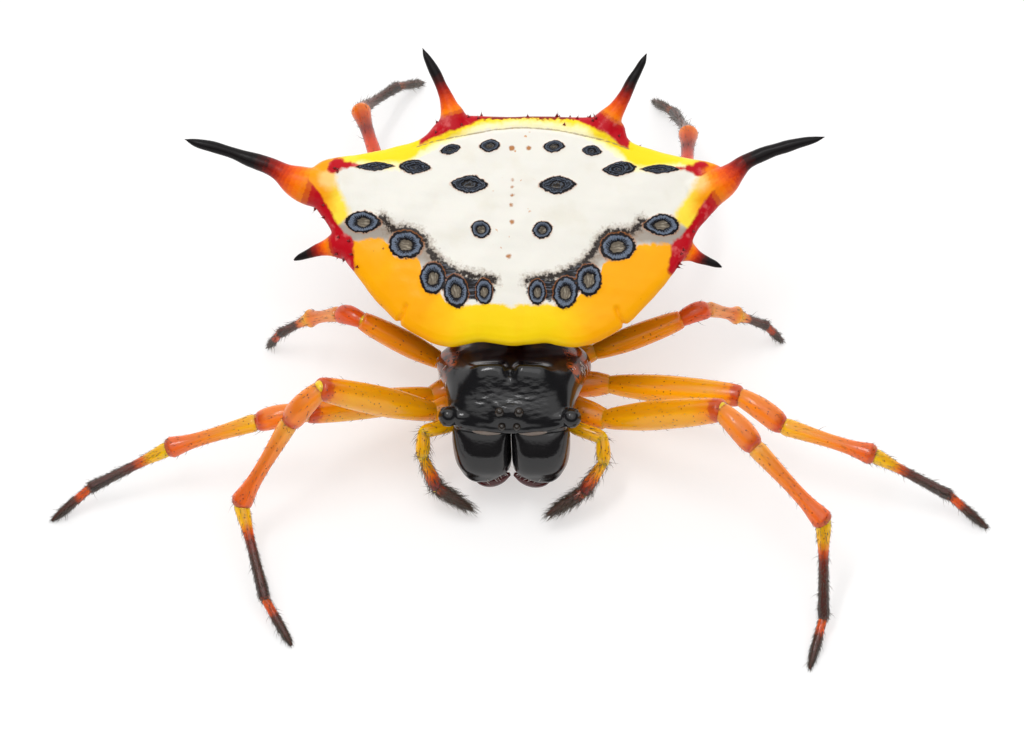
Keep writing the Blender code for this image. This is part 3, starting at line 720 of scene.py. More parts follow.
# The golden front edge, the yellow rear edge and sides, and the crimson
front = shell.ramp(
    shell.plus(shell.read("corner"), both(ripple, 0.5)),
    [(0.0, FRONT_YELLOW), (0.6, FRONT_ORANGE), (0.98, DEEP_ORANGE)],
)
colour = shell.mix(zone("front_edge", 0.0, 0.06), colour, front)
rear = shell.mix(zone("rear_edge", -0.08, 0.14), CREAM, REAR_YELLOW)
colour = shell.mix(zone("rear_edge", 0.1, 0.06), colour, rear)
side_yellow = shell.mix(zone("cone", 0.0, 0.3), tone(254, 226, 66), tone(254, 160, 14))
side_yellow = shell.mix(both(zone("peach", 0.0, 0.15), 0.8), side_yellow, tone(252, 208, 130))
colour = shell.mix(zone("side_edge", 0.0, 0.12), colour, side_yellow)
colour = shell.mix(zone("rear_line", 0.0, 0.04, both(fine, 0.3)), colour, tone(140, 26, 24))
flank_red = shell.mix(both(shell.step(0.54, 0.7, shell.noise(0.4, 3.0)), 0.7), CRIMSON, PINK)
colour = shell.mix(zone("crimson", 0.0, 0.05, both(edge_noise, 0.6)), colour, flank_red)
# The painted shade in the crease, the spines and the punctures in the gold
# A darker tan line along the bottom of the crease is painted shade
line = both(shell.step(0.035, 0.012, shell.plus(shell.read("crease"), both(fine, 0.03))), 0.75)
colour = shell.mix(line, colour, tone(150, 128, 92))
spine_ramp = shell.ramp(shell.plus(shell.read("spine"), both(fine, 0.1)), [
    (0.0, tone(254, 168, 12)), (0.1, tone(254, 146, 8)), (0.19, tone(248, 108, 8)), (0.28, tone(216, 68, 22)),
    (0.37, tone(158, 32, 22)), (0.45, tone(66, 24, 22)), (0.54, tone(24, 20, 21)), (1.0, tone(22, 20, 22)),
])
colour = shell.mix(shell.read("on_spine"), colour, spine_ramp)
punctures = both(shell.step(0.1, 0.07, shell.cells(0.42)), shell.step(0.5, 0.56, shell.noise(0.6, 1.0)))
on_gold = zone("front_edge", -0.15, 0.1)
colour = shell.mix(both(both(punctures, on_gold), 0.7), colour, tone(120, 50, 14))

# The scars' plates: a black outline, a blue-grey rim with fine teeth inside it and a streaked pit
reach = shell.plus(shell.read("scar"), both(fine, 0.36))
reach = shell.plus(reach, both(grain, 0.16))
scar_axes = shell.node("ShaderNodeSeparateXYZ", {0: shell.read("scar_place", "Vector")}).outputs
turning = shell.number("ARCTAN2", scar_axes[1], scar_axes[0])
teeth = shell.number("SINE", shell.plus(both(turning, 30.0), both(fine, 16.0)))
teeth = shell.step(-0.2, 0.5, teeth)
stretched = shell.node("ShaderNodeCombineXYZ", {
    0: both(scar_axes[0], 9.0),
    1: both(scar_axes[1], 2.2),
    2: shell.read("front_edge"),
}).outputs[0]
pit_streaks = shell.step(0.5, 0.68, shell.noise(1.0, 3.0, where=stretched))
pit = shell.mix(pit_streaks, SCAR_BROWN, tone(176, 166, 148))
pit = shell.mix(shell.step(0.42, 0.3, shell.noise(1.0, 3.0, where=stretched)), pit, INK)
rim = shell.mix(both(teeth, 0.5), SCAR_BLUE, tone(118, 132, 154))
plate = shell.mix(shell.step(0.36, 0.44, reach), pit, INK)
plate = shell.mix(both(shell.step(0.5, 0.58, reach), teeth), plate, SCAR_BLUE)
plate = shell.mix(shell.step(0.62, 0.67, reach), plate, rim)
plate = shell.mix(shell.step(0.82, 0.86, reach), plate, INK)
lines = shell.step(0.35, 0.8, shell.number("SINE", shell.plus(both(reach, 26.0), both(fine, 8.0))))
blot = shell.mix(both(lines, 0.75), INK, SCAR_BLUE)
blot = shell.mix(both(shell.step(0.26, 0.16, reach), pit_streaks), blot, tone(150, 140, 124))
blot = shell.mix(shell.step(0.86, 0.92, reach), blot, INK)
plate = shell.mix(scar_axes[2], plate, blot)
colour = shell.mix(both(shell.step(1.14, 1.04, reach), 0.4), colour, tone(196, 116, 50))
colour = shell.mix(shell.step(1.05, 0.99, reach), colour, plate)

# The dark belly with its yellow spots, and the relief of the horn and the scars' teeth
belly = shell.step(1.0, 1.35, shell.plus(shell.read("belly"), both(ripple, 0.6)))
belly_colour = shell.mix(shell.step(0.6, 0.66, shell.noise(0.9, 1.0)), BELLY_BROWN, tone(214, 150, 30))
colour = shell.mix(belly, colour, belly_colour)
shell.paint(colour)
height_map = shell.plus(both(shell.noise(0.3, 3.0), 0.6), both(shell.noise(0.06, 2.0), 0.12))
height_map = shell.plus(height_map, both(both(teeth, shell.step(0.95, 0.85, reach)), 0.25))
shell.relief(height_map, 0.03, 0.5)
# Where tubercles stand: on the crimson flanks and on the low part of the rear
knobbed = blend_step(5.7, 6.2, along) * blend_step(0.1, -0.2, height)
knobbed = np.maximum(blend_step(-0.1, 0.1, flank), knobbed)
knobbed = knobbed * blend_step(-1.2, -0.9, height) * (1 - blend_step(0.02, 0.1, spine_colour))
write_value(abdomen_skin, "hair", knobbed)
write_value(abdomen_skin, "lie", np.stack([skin[:, 0] / 7, (along - 4) / 5, 0 * along], axis=1))
write_value(abdomen_skin, "unwrap", np.stack([skin[:, 0] / 20 + 0.5, along / 20 + 0.3, 0 * along], axis=1))
abdomen = place_piece("abdomen_shell", abdomen_skin, SHIELD_FRAME, shell, ["abdomen"])

# Carapace
# One hard glossy shell over the head part, with two humps, a knob at each front corner that
# carries two eyes, and a raised brow between them. Its flanks are thin, brown and dotted.
HEAD_FRAME = Matrix.Translation((0.256, 0.0, 0.0)) @ body_turn
CARAPACE_RINGS = [
    (-3.72, 1.0, 3.12), (-3.58, 1.5, 3.36), (-3.25, 1.7, 3.6), (-2.85, 1.78, 3.76),
    (-2.4, 1.85, 3.9), (-1.95, 2.0, 3.84), (-1.4, 2.18, 3.5), (-0.95, 2.02, 3.18),
    (-0.6, 1.55, 2.95), (-0.4, 1.05, 2.84),
]
CARAPACE_BOX = 0.62
BELLY_PLANE = 2.45
BELLY_PLANE_RISE = 0.12
WAIST = -0.4
EYE_KNOB = [((1.72, -3.38, 3.26), (0.29, 0.29, 0.29)), ((1.25, -3.36, 3.22), (0.55, 0.2, 0.2))]
FACE_RIDGE = [(1.6, -3.42, 3.18), (1.3, -3.54, 3.14), (0.7, -3.63, 3.1), (0.0, -3.68, 3.06)]
FACE_RIDGE_RADIUS = 0.11
HEAD_VOXEL = 0.035
HUMP_CREST = -2.3
FLANK_EDGE = ([-3.4, -2.7, -2.3, -2.1, -1.95, -1.6, -1.2, -0.8], [2.2, 1.8, 1.85, 1.74, 1.57, 1.52, 1.4, 1.3])


def carapace_ring(along, half_width, top):
    """One boxy cross section with a flat underside."""
    low = BELLY_PLANE + BELLY_PLANE_RISE * (WAIST - along)
    ring = []
    for k in range(41):
        c, s = math.cos(math.pi * k / 40), math.sin(math.pi * k / 40)
        wide = math.copysign(abs(c) ** CARAPACE_BOX, c) * half_width
        ring.append(Vector((wide, along, low + abs(s) ** CARAPACE_BOX * (top - low))))
    for share in (-0.75, -0.5, -0.25, 0.0, 0.25, 0.5, 0.75):
        ring.append(Vector((share * half_width, along, low)))
    return ring


head_form = bmesh.new()
stations = curve_through([(w, y, z) for y, w, z in CARAPACE_RINGS], 4)
add_rings(head_form, [carapace_ring(p.y, p.x, p.z) for p in stations])
for (x, y, z), sizes in EYE_KNOB:
    for side in (1, -1):
        add_ball(head_form, (x * side, y, z), sizes)
ridge = [*FACE_RIDGE, *[(-x, y, z) for x, y, z in reversed(FACE_RIDGE[:-1])]]
ridge = curve_through(ridge, 4)
add_rings(head_form, tube_rings(ridge, [FACE_RIDGE_RADIUS] * len(ridge), 16))
head_skin = one_skin("carapace_skin", head_form, HEAD_VOXEL, 14)

head = read_points(head_skin)
x, y, z = np.abs(head[:, 0]), head[:, 1], head[:, 2]
# Two humps with a notch between them, the brow, the valley behind it and a small pit
upper = blend_step(2.9, 3.3, z)
fall = np.where(y < HUMP_CREST, 0.52, 0.27)
hump = np.exp(-(((y - HUMP_CREST) / fall) ** 2)) * (1 - blend_step(0.8, 1.6, x))
notch = np.exp(-((x / 0.17) ** 2)) * np.exp(-(((y + 2.3) / 0.35) ** 2))
brow = np.exp(-((x / 0.42) ** 4)) * np.exp(-(((y + 3.44) / 0.26) ** 2))
valley = np.exp(-((x / 0.3) ** 2)) * blend_step(-2.6, -2.9, y) * blend_step(-3.3, -3.1, y)
pit = np.exp(-((x / 0.05) ** 2 + ((y + 2.42) / 0.06) ** 2))
lift = upper * (0.3 * hump - 0.2 * notch + 0.15 * brow - 0.05 * valley - 0.1 * pit)
head[:, 2] += lift
# Fine wrinkles run across the shell between the humps and the brow
wrinkled = upper * np.exp(-(((y + 3.0) / 0.42) ** 2)) * np.exp(-((x / 1.1) ** 4))
head[:, 2] += 0.012 * wrinkled * waves(head * np.array([0.6, 1.9, 1.0]), 0.22, 11, 12)
head[:, 2] += 0.005 * upper * waves(head, 0.5, 12, 9)
write_points(head_skin, head)
past_flank = x - np.interp(y, *FLANK_EDGE)
write_value(head_skin, "flank", past_flank)
write_value(head_skin, "rear", y + 1.95)
write_value(head_skin, "wrinkled", wrinkled)
write_value(head_skin, "along", y)
tufts = blend_step(0.0, 0.12, past_flank) * blend_step(0.1, 0.7, waves(head, 0.35, 14, 12))
write_value(head_skin, "hair", tufts * (1 - blend_step(-1.5, -1.2, y)) * blend_step(2.7, 3.0, z))
write_value(head_skin, "lie", np.tile((0.0, -0.64, -0.77), (len(head), 1)))
write_value(head_skin, "unwrap", np.stack([head[:, 0] / 8 + 0.5, -y / 8, 0 * y], axis=1))

black_shell = Finish("carapace_black", roughness=0.15)
head_fine = black_shell.waver(0.1)
black = black_shell.mix(black_shell.noise(0.4), tone(12, 12, 14), tone(20, 19, 22))
black = black_shell.mix(black_shell.step(-0.2, 0.9, black_shell.read("rear")), black, tone(46, 14, 14))
# The brown flank, with a row of dark spots along its edge and scattered ones beside them
edge = black_shell.plus(black_shell.read("flank"), black_shell.times(head_fine, 0.16))
clouds = black_shell.step(0.35, 0.6, black_shell.noise(0.5, 3.0))
brown = black_shell.mix(clouds, tone(158, 70, 16), tone(62, 26, 16))
black = black_shell.mix(black_shell.step(-0.04, 0.07, edge), black, brown)
dots = black_shell.step(0.34, 0.26, black_shell.cells(0.17))
dots = black_shell.times(dots, black_shell.step(0.0, 0.1, edge))
black = black_shell.mix(black_shell.times(dots, black_shell.step(0.4, 0.25, edge)), black, tone(20, 14, 12))
row = black_shell.number("SINE", black_shell.times(black_shell.read("along"), 44.0))
row = black_shell.step(0.2, 0.6, row)
band = black_shell.minus(black_shell.step(0.02, 0.05, edge), black_shell.step(0.13, 0.16, edge))
black = black_shell.mix(black_shell.times(row, band), black, tone(14, 10, 10))
black_shell.paint(black)
wrinkle = black_shell.noise(1.0, 4.0, where=black_shell.place((5.0, 11.0, 8.0)))
wrinkle = black_shell.times(wrinkle, black_shell.plus(black_shell.read("wrinkled"), 0.08))
black_shell.relief(wrinkle, 0.04, 0.6)
carapace = place_piece("carapace", head_skin, HEAD_FRAME, black_shell, ["carapace"])

# Fang bases
# Two broad glossy lobes of hard black horn that hang side by side under the brow. They
# hinge on a pale soft skin, and a thin brown rim of painted light lies along their outer edges.
CHELICERA_STATIONS = [
    ((0.82, -3.36, 2.88), 0.62, 0.2), ((0.82, -3.4, 2.7), 0.79, 0.42), ((0.83, -3.48, 2.44), 0.825, 0.6),
    ((0.83, -3.58, 2.2), 0.825, 0.7), ((0.82, -3.69, 1.92), 0.815, 0.72), ((0.8, -3.8, 1.68), 0.79, 0.67),
    ((0.79, -3.88, 1.46), 0.72, 0.58), ((0.9, -3.96, 1.22), 0.46, 0.48), ((0.97, -4.0, 1.06), 0.16, 0.3),
]
CHELICERA_SIDES = 64
INNER_BOX = 0.5
OUTER_BOX = 0.85
LOBE_FORWARD = 0.94
LOBE_UPWARD = 0.34
FANG = [(1.0, -3.98, 1.12), (0.84, -4.1, 1.02), (0.58, -4.2, 1.12), (0.3, -4.2, 1.3), (0.06, -4.17, 1.42)]
FANG_RADII = [0.16, 0.2, 0.2, 0.17, 0.05]
FACE_SKIN = [(0.06, -3.64, 2.98), (0.45, -3.67, 2.96), (0.9, -3.64, 2.98), (1.3, -3.54, 3.02)]


def lobe_ring(centre, half_width, half_depth, side):
    """One cross section of a fang base: flat toward its twin and round toward the side."""
    ring = []
    for k in range(CHELICERA_SIDES):
        c, s = math.cos(math.tau * k / CHELICERA_SIDES), math.sin(math.tau * k / CHELICERA_SIDES)
        box = OUTER_BOX if c > 0 else INNER_BOX
        wide = math.copysign(abs(c) ** box, c) * half_width
        deep = s * half_depth
        forward, up = centre.y - LOBE_FORWARD * deep, centre.z + LOBE_UPWARD * deep
        ring.append(Vector(((centre.x + wide) * side, forward, up)))
    return ring


def mottled(name, size, first, second, **settings):
    """A finish in two tones, which lie in clouds about size millimetres across."""
    finish = Finish(name, **settings)
    finish.paint(finish.mix(finish.noise(size), tone(*first), tone(*second)))
    return finish


def place_form(name, mesh, world, finish):
    """Places one mesh as a piece in the stead of the solid that has its name."""
    return place_piece(name, as_data(name, mesh), world, finish, [name])


SIDES = (("left", 1), ("right", -1))
jaw_black = Finish("jaw_black", roughness=0.13)
jaw_fine = jaw_black.waver(0.15)
# The brown along the outer edges is painted light, as of light shining through thin horn
rim_light_place = jaw_black.plus(jaw_black.read("rim"), jaw_black.times(jaw_fine, 0.08))
black = jaw_black.mix(jaw_black.noise(0.4), tone(14, 13, 14), tone(24, 22, 24))
jaw_black.paint(jaw_black.mix(jaw_black.step(0.0, 0.12, rim_light_place), black, tone(104, 64, 30)))
jaw_black.relief(jaw_black.noise(0.07, 2.0), 0.01, 0.35)
fang_red = mottled("fang_red", 0.3, (48, 6, 8), (84, 12, 12), roughness=0.12)
pale_skin = Finish("pale_skin", roughness=0.45, glow=0.1, depth=0.1)
pale_streaks = pale_skin.noise(1.0, 2.0, where=pale_skin.place((2.0, 20.0, 20.0)))
pale_skin.paint(pale_skin.mix(pale_streaks, tone(96, 84, 76), tone(140, 126, 116)))
jaws = []
for word, side in SIDES:
    centres = curve_through([place for place, _, _ in CHELICERA_STATIONS], 5)
    widths = smooth_values([w for _, w, _ in CHELICERA_STATIONS], 5)
    depths = smooth_values([d for _, _, d in CHELICERA_STATIONS], 5)
    lobe = bmesh.new()
    add_rings(lobe, [lobe_ring(*station, side) for station in zip(centres, widths, depths)])
    lobe_skin = as_data(f"chelicera_{word}", lobe)
    lobe_points = read_points(lobe_skin)
    write_value(lobe_skin, "rim", np.abs(lobe_points[:, 0]) - 1.5 - 0.25 * (lobe_points[:, 1] + 3.9))
    fringe = blend_step(0.75, 0.6, np.abs(lobe_points[:, 0])) * blend_step(1.75, 1.5, lobe_points[:, 2])
    write_value(lobe_skin, "hair", fringe * blend_step(-3.9, -4.1, lobe_points[:, 1]))
    write_value(lobe_skin, "lie", np.tile((-0.7 * side, -0.3, -0.64), (len(lobe_points), 1)))
    flat = lobe_points * (0.2, 0.0, 0.0) + lobe_points[:, [1, 2, 0]] * (0.0, 0.2, 0.0) + (0.5, 0.1, 0)
    write_value(lobe_skin, "unwrap", flat)
    name = f"chelicera_{word}"
    jaws.append(place_piece(name, lobe_skin, HEAD_FRAME, jaw_black, [name]))
    fang = bmesh.new()
    fang_line = curve_through([(x * side, y, z) for x, y, z in FANG], 5)
    add_rings(fang, tube_rings(fang_line, smooth_values(FANG_RADII, 5), 24))
    place_form(f"fang_{word}", fang, HEAD_FRAME, fang_red)
    membrane = bmesh.new()
    membrane_line = curve_through([(x * side, y, z) for x, y, z in FACE_SKIN], 6)
    last = len(membrane_line) - 1
    thin = [0.03 + 0.09 * math.sin(math.pi * k / last) for k in range(last + 1)]
    add_rings(membrane, tube_rings(membrane_line, thin, 20))
    name = f"face_skin_{word}"
    place_piece(name, as_data(name, membrane), HEAD_FRAME, pale_skin)

# Eyes
# Eight small clear domes of horn over dark eye cups: four in the middle of the brow and two
# on the knob at each front corner.
EYES = {
    "eye_rear_middle": ((0.27, -3.4, 3.58), 0.14),
    "eye_front_middle": ((0.21, -3.7, 3.26), 0.11),
    "eye_front_side": ((1.8, -3.58, 3.26), 0.1),
    "eye_rear_side": ((1.84, -3.27, 3.4), 0.1),
}
eye_dark = mottled("eye_dark", 0.2, (20, 16, 13), (44, 36, 28), roughness=0.05)
for name, ((x, y, z), radius) in EYES.items():
    for word, side in SIDES:
        dome = bmesh.new()
        add_ball(dome, (x * side, y, z), (radius,) * 3, 28)
        place_form(f"{name}_{word}", dome, HEAD_FRAME, eye_dark)

# Breastplate and mouthparts
# Under the head part a heart-shaped brown plate lies between the hips, and in front of it the
# lip and two jaw plates close the mouth behind the fang bases.
STERNUM_OUTLINE = [
    (0.0, -2.15), (0.55, -2.12), (0.86, -1.9), (1.05, -1.35), (0.98, -0.7), (0.7, -0.15), (0.0, 0.1),
]
STERNUM_CENTRE = -1.1
STERNUM_RINGS = [
    (0.1, 1.2), (0.4, 1.21), (0.7, 1.25), (0.88, 1.31), (0.97, 1.4), (1.0, 1.52), (1.04, 1.75), (1.2, 2.1),
    (1.3, 2.55),
]
sternum_outline = mirrored_outline(STERNUM_OUTLINE, 6)
sternum_middle = Vector((0.0, STERNUM_CENTRE))
plate = bmesh.new()
add_rings(plate, [
    [Vector((*(sternum_middle + (p - sternum_middle) * share), height)) for p in sternum_outline]
    for share, height in STERNUM_RINGS
])
sternum_brown = mottled("sternum_brown", 0.5, (38, 20, 16), (70, 34, 22), roughness=0.3)
place_form("sternum", plate, HEAD_FRAME, sternum_brown)
mouth = bmesh.new()
add_ball(mouth, (0.0, -2.42, 1.42), (0.32, 0.24, 0.16))
for side in (1, -1):
    add_ball(mouth, (0.5 * side, -2.8, 1.62), (0.42, 0.34, 0.34))
    add_ball(mouth, (0.46 * side, -2.6, 1.95), (0.4, 0.34, 0.4))
place_form("mouthparts", mouth, HEAD_FRAME, sternum_brown)

# Waist and spinnerets
# A narrow soft stalk joins the two halves of the body. At the top of the belly a dark ring
# carries two pairs of cone-shaped spinnerets and the small tubercle behind them.
PEDICEL_LINE = [
    (0.18, -0.4, 2.6), (0.16, -0.07, 2.64), (0.14, 0.06, 2.66), (0.12, 0.2, 2.68), (0.1, 0.45, 2.72),
]
PEDICEL_RADII = [0.3, 0.27, 0.23, 0.27, 0.32]
SPINNERET_PLACE = (0.0, 3.5, -3.62)
SPINNERETS = [((0.3, -0.26), 0.26, 0.62), ((0.28, 0.24), 0.24, 0.52), ((0.0, 0.56), 0.2, 0.3)]
waist = bmesh.new()
add_rings(waist, tube_rings(curve_through(PEDICEL_LINE, 5), smooth_values(PEDICEL_RADII, 5), 28))
place_form("pedicel", waist, Matrix.Identity(4), sternum_brown)
spinners = bmesh.new()
x, y, z = SPINNERET_PLACE
ring_line = [Vector((x, y, z + h)) for h in (0.3, 0.1, 0.0, -0.1, -0.2, -0.27, -0.3)]
add_rings(spinners, tube_rings(ring_line, [0.84, 0.84, 0.82, 0.8, 0.72, 0.6, 0.4], 48))
for (across, along), size, length in SPINNERETS:
    lean = 0.08 if across else 0.0
    for side in (1, -1) if across else (1,):
        line = []
        for share in (0.0, 0.3, 0.6, 0.85, 0.95, 1.0):
            sideways = (across - lean * share) * side
            line.append(Vector((x + sideways, y + along, z - 0.1 - (length + 0.1) * share)))
        add_rings(spinners, tube_rings(line, [size * v for v in (1.0, 1.0, 0.86, 0.6, 0.44, 0.2)], 24))
place_form("spinnerets", spinners, SHIELD_FRAME, sternum_brown)

# Hairs and tubercles
# Fine white hairs fringe the head shell and the fang bases, small red knobs with a bristle each
# stand on the flanks of the abdomen, and brown bristles cover the legs. All grow out of the skins.
BRISTLE_POINTS = 7
BRISTLE_BEND = 0.3
BRISTLE_STRAY = 0.22
BRISTLE_SIZES = (0.55, 1.15)
BAKE_PATCH = 0.003
FLOOR_GAP = 0.00001
# Each growth: how many stand on a square millimetre at the thickest, length, radius, how upright
HEAD_HAIR = (170.0, 0.26, 0.012, 0.35)
JAW_HAIR = (60.0, 0.13, 0.009, 0.5)
TUBERCLES = (5.0, 0.1, 0.06, 1.0)
TUBERCLE_BRISTLES = (5.0, 0.2, 0.008, 1.0)
# The tubercles and their bristles share a seed, so one bristle stands on each tubercle
TUBERCLE_SEED = 91


def bristle_tool():
    """Nodes that grow short curved bristles out of a skin, more where its hair value is higher."""
    tool = bpy.data.node_groups.new("bristles", "GeometryNodeTree")
    face = tool.interface
    face.new_socket("Skin", in_out="INPUT", socket_type="NodeSocketGeometry")
    for name in ("Density", "Length", "Radius", "Rise"):
        face.new_socket(name, in_out="INPUT", socket_type="NodeSocketFloat")
    face.new_socket("Seed", in_out="INPUT", socket_type="NodeSocketInt")
    face.new_socket("Finish", in_out="INPUT", socket_type="NodeSocketMaterial")
    face.new_socket("Bristles", in_out="OUTPUT", socket_type="NodeSocketGeometry")

    def node(kind, sockets, **settings):
        return add_node(tool, kind, sockets, **settings)

    def number(operation, a, b=0.0):
        return node("ShaderNodeMath", {0: a, 1: b}, operation=operation).outputs[0]

    given = tool.nodes.new("NodeGroupInput").outputs
    hair = node("GeometryNodeInputNamedAttribute", {"Name": "hair"}, data_type="FLOAT").outputs[0]
    lie = node("GeometryNodeInputNamedAttribute", {"Name": "lie"}, data_type="FLOAT_VECTOR").outputs[0]
    roots = node(
        "GeometryNodeDistributePointsOnFaces",
        {"Mesh": given["Skin"], "Density": number("MULTIPLY", given["Density"], hair), "Seed": given["Seed"]},
    ).outputs
    # A three-sided cone of height one, whose tip bends over by a share of the bristle's length
    cone = node(
        "GeometryNodeMeshCone",
        {"Vertices": 3, "Side Segments": 2, "Radius Top": 0.0, "Radius Bottom": 1.0, "Depth": 1.0},
    ).outputs["Mesh"]
    tall = node("ShaderNodeSeparateXYZ", {0: node("GeometryNodeInputPosition", {}).outputs[0]}).outputs[2]
    slender = number("MULTIPLY", BRISTLE_BEND, number("DIVIDE", given["Length"], given["Radius"]))
    bend = number("MULTIPLY", number("MULTIPLY", tall, tall), slender)
    shift = node("ShaderNodeCombineXYZ", {0: bend}).outputs[0]
    curved = node("GeometryNodeSetPosition", {"Geometry": cone, "Offset": shift}).outputs[0]
    # Each points between the way the skin's hairs lie and straight out, and strays a little
    up, flat = given["Rise"], number("SUBTRACT", 1.0, given["Rise"])
    low = node("ShaderNodeVectorMath", {0: lie, "Scale": flat}, operation="SCALE").outputs[0]
    high = node("ShaderNodeVectorMath", {0: roots["Normal"], "Scale": up}, operation="SCALE").outputs[0]
    stray = node(
        "FunctionNodeRandomValue",
        {0: (-BRISTLE_STRAY,) * 3, 1: (BRISTLE_STRAY,) * 3, "Seed": given["Seed"]},
        data_type="FLOAT_VECTOR",
    ).outputs[0]
    even = node("ShaderNodeVectorMath", {0: low, 1: high}).outputs[0]
    aimed = node("ShaderNodeVectorMath", {0: even, 1: stray}).outputs[0]
    upright = node("FunctionNodeAlignRotationToVector", {"Vector": aimed}, axis="Z").outputs[0]
    turned = node(
        "FunctionNodeAlignRotationToVector", {"Rotation": upright, "Vector": lie}, axis="X", pivot_axis="Z"
    ).outputs[0]
    low_share, high_share = BRISTLE_SIZES
    size = node(
        "FunctionNodeRandomValue", {2: low_share, 3: high_share, "Seed": given["Seed"]}, data_type="FLOAT"
    ).outputs[1]
    tallness = number("MULTIPLY", given["Length"], size)
    shape = node("ShaderNodeCombineXYZ", {0: given["Radius"], 1: given["Radius"], 2: tallness}).outputs[0]
    grown = node(
        "GeometryNodeInstanceOnPoints",
        {"Points": roots["Points"], "Instance": curved, "Rotation": turned, "Scale": shape},
    ).outputs[0]
    whole = node("GeometryNodeRealizeInstances", {"Geometry": grown}).outputs[0]
    finished = node("GeometryNodeSetMaterial", {"Geometry": whole, "Material": given["Finish"]}).outputs[0]
    tool.links.new(finished, tool.nodes.new("NodeGroupOutput").inputs["Bristles"])
    return tool


BRISTLES = bristle_tool()


def grow(name, skin_piece, finish, growth, seed):
    """Grows bristles out of a placed skin, as one piece."""
    density, length, radius, rise = growth
    host = bpy.data.objects.new(name + "_host", skin_piece.data.copy())
    bpy.context.scene.collection.objects.link(host)
    modifier = host.modifiers.new("bristles", "NODES")
    modifier.node_group = BRISTLES
    values = {
        "Density": density / MM**2,
        "Length": length * MM,
        "Radius": radius * MM,
        "Rise": rise,
        "Seed": seed,
        "Finish": finish.material,
    }
    for item in BRISTLES.interface.items_tree:
        if item.name in values:
            modifier[item.identifier] = values[item.name]
    graph = bpy.context.evaluated_depsgraph_get()
    data = bpy.data.meshes.new_from_object(host.evaluated_get(graph))
    skin_copy = host.data
    host.modifiers.clear()
    bpy.data.objects.remove(host)
    bpy.data.meshes.remove(skin_copy)
    data.name = name
    count = len(data.vertices)
    places = read_points(data)
    places[:, 2] = np.maximum(places[:, 2], FLOOR_GAP)
    write_points(data, places)
    spread = np.empty(count * 3, np.float32)
    data.attributes["unwrap"].data.foreach_get("vector", spread)
    corner = np.arange(count) % BRISTLE_POINTS
    flat = spread.reshape(-1, 3)[:, :2] + BAKE_PATCH * np.stack([corner % 3, corner // 3], axis=1) / 3
    loops = np.empty(len(data.loops), np.int32)
    data.loops.foreach_get("vertex_index", loops)
    for extra in [a.name for a in data.attributes if not a.is_required and a.name != "material_index"]:
        data.attributes.remove(data.attributes[extra])
    layer = data.uv_layers.new(name="OFBake")
    layer.data.foreach_set("uv", flat[loops].astype(np.float32).ravel())
    piece = bpy.data.objects.new(name, data)
    bpy.context.scene.collection.objects.link(piece)
    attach(piece, "root")
    return piece


bristle_brown = mottled("bristle_brown", 0.3, (58, 46, 38), (112, 98, 84), roughness=0.45)
white_hair = mottled("white_hair", 0.3, (250, 246, 240), (226, 214, 204), roughness=0.4, glow=0.1)
tubercle_red = mottled("tubercle_red", 0.3, (150, 16, 26), (96, 20, 18), roughness=0.3)
grow("head_hair", carapace, white_hair, HEAD_HAIR, 90)
grow("abdomen_tubercles", abdomen, tubercle_red, TUBERCLES, TUBERCLE_SEED)
grow("jaw_hair_left", jaws[0], white_hair, JAW_HAIR, 93)
grow("jaw_hair_right", jaws[1], white_hair, JAW_HAIR, 94)
grow("abdomen_bristles", abdomen, bristle_brown, TUBERCLE_BRISTLES, TUBERCLE_SEED)

# Legs and feelers
# Jointed tubes of glossy orange horn with yellow soft skin in the bends: hip, thigh, knee, shin
# and two thin black foot segments. Two short feelers, made in the same way, stand in front.
LEG_LENGTHS = {
    1: (4.1, 1.4, 2.85, 2.8, 1.5),
    2: (3.9, 1.5, 2.65, 2.55, 1.45),
    3: (2.65, 0.9, 1.15, 1.25, 0.9),
    4: (4.0, 1.4, 2.7, 2.1, 1.2),
}
HIP_ROOTS = {1: (1.22, -2.02, 1.66), 2: (1.36, -1.3, 1.56), 3: (1.3, -0.56, 1.6), 4: (1.0, 0.14, 1.62)}
HIP_ENDS = {
    ("left", 1): (2.6, -2.6, 1.78), ("left", 2): (2.7, -1.25, 1.42),
    ("left", 3): (2.3, -0.32, 1.6), ("left", 4): (1.85, 0.45, 1.6),
    ("right", 1): (-2.2, -2.38, 1.8), ("right", 2): (-2.25, -1.6, 1.38),
    ("right", 3): (-1.95, -0.62, 1.55), ("right", 4): (-1.6, 0.3, 1.6),
}
LEG_POSE = {
    ("left", 1): ((72, 35), (44, -14), (50, -28), (1, -45), -16),
    ("left", 2): ((76, 14), (57, -12), (72, -4), (72, -25), 59),
    ("left", 3): ((103, 19), (114, -1), (106, -41), (102, -45), 79),
    ("left", 4): ((138, 27), (149, -6), (177, -26), (194, -40), 215),
    ("right", 1): ((77, 39), (58, -41), (44, -45), (-15, -18), -32),
    ("right", 2): ((69, 20), (83, -8), (82, -19), (71, -21), 58),
    ("right", 3): ((105, 29), (122, -22), (108, -39), (93, -46), 93),
    ("right", 4): ((157, 15), (153, -5), (166, -14), (215, -31), 231),
}
FOOT_HEIGHT = 0.05
PALP_LENGTHS = (0.95, 0.7, 1.05, 1.2)
PALP_ROOTS = {"left": (1.68, -2.92, 1.94), "right": (-1.64, -2.84, 1.92)}
PALP_POSE = {
    "left": ((65, 5), (5, -40), (-42, -35), (-62, -18)),
    "right": ((66, 15), (4, -40), (-34, -48), (-66, -24)),
}
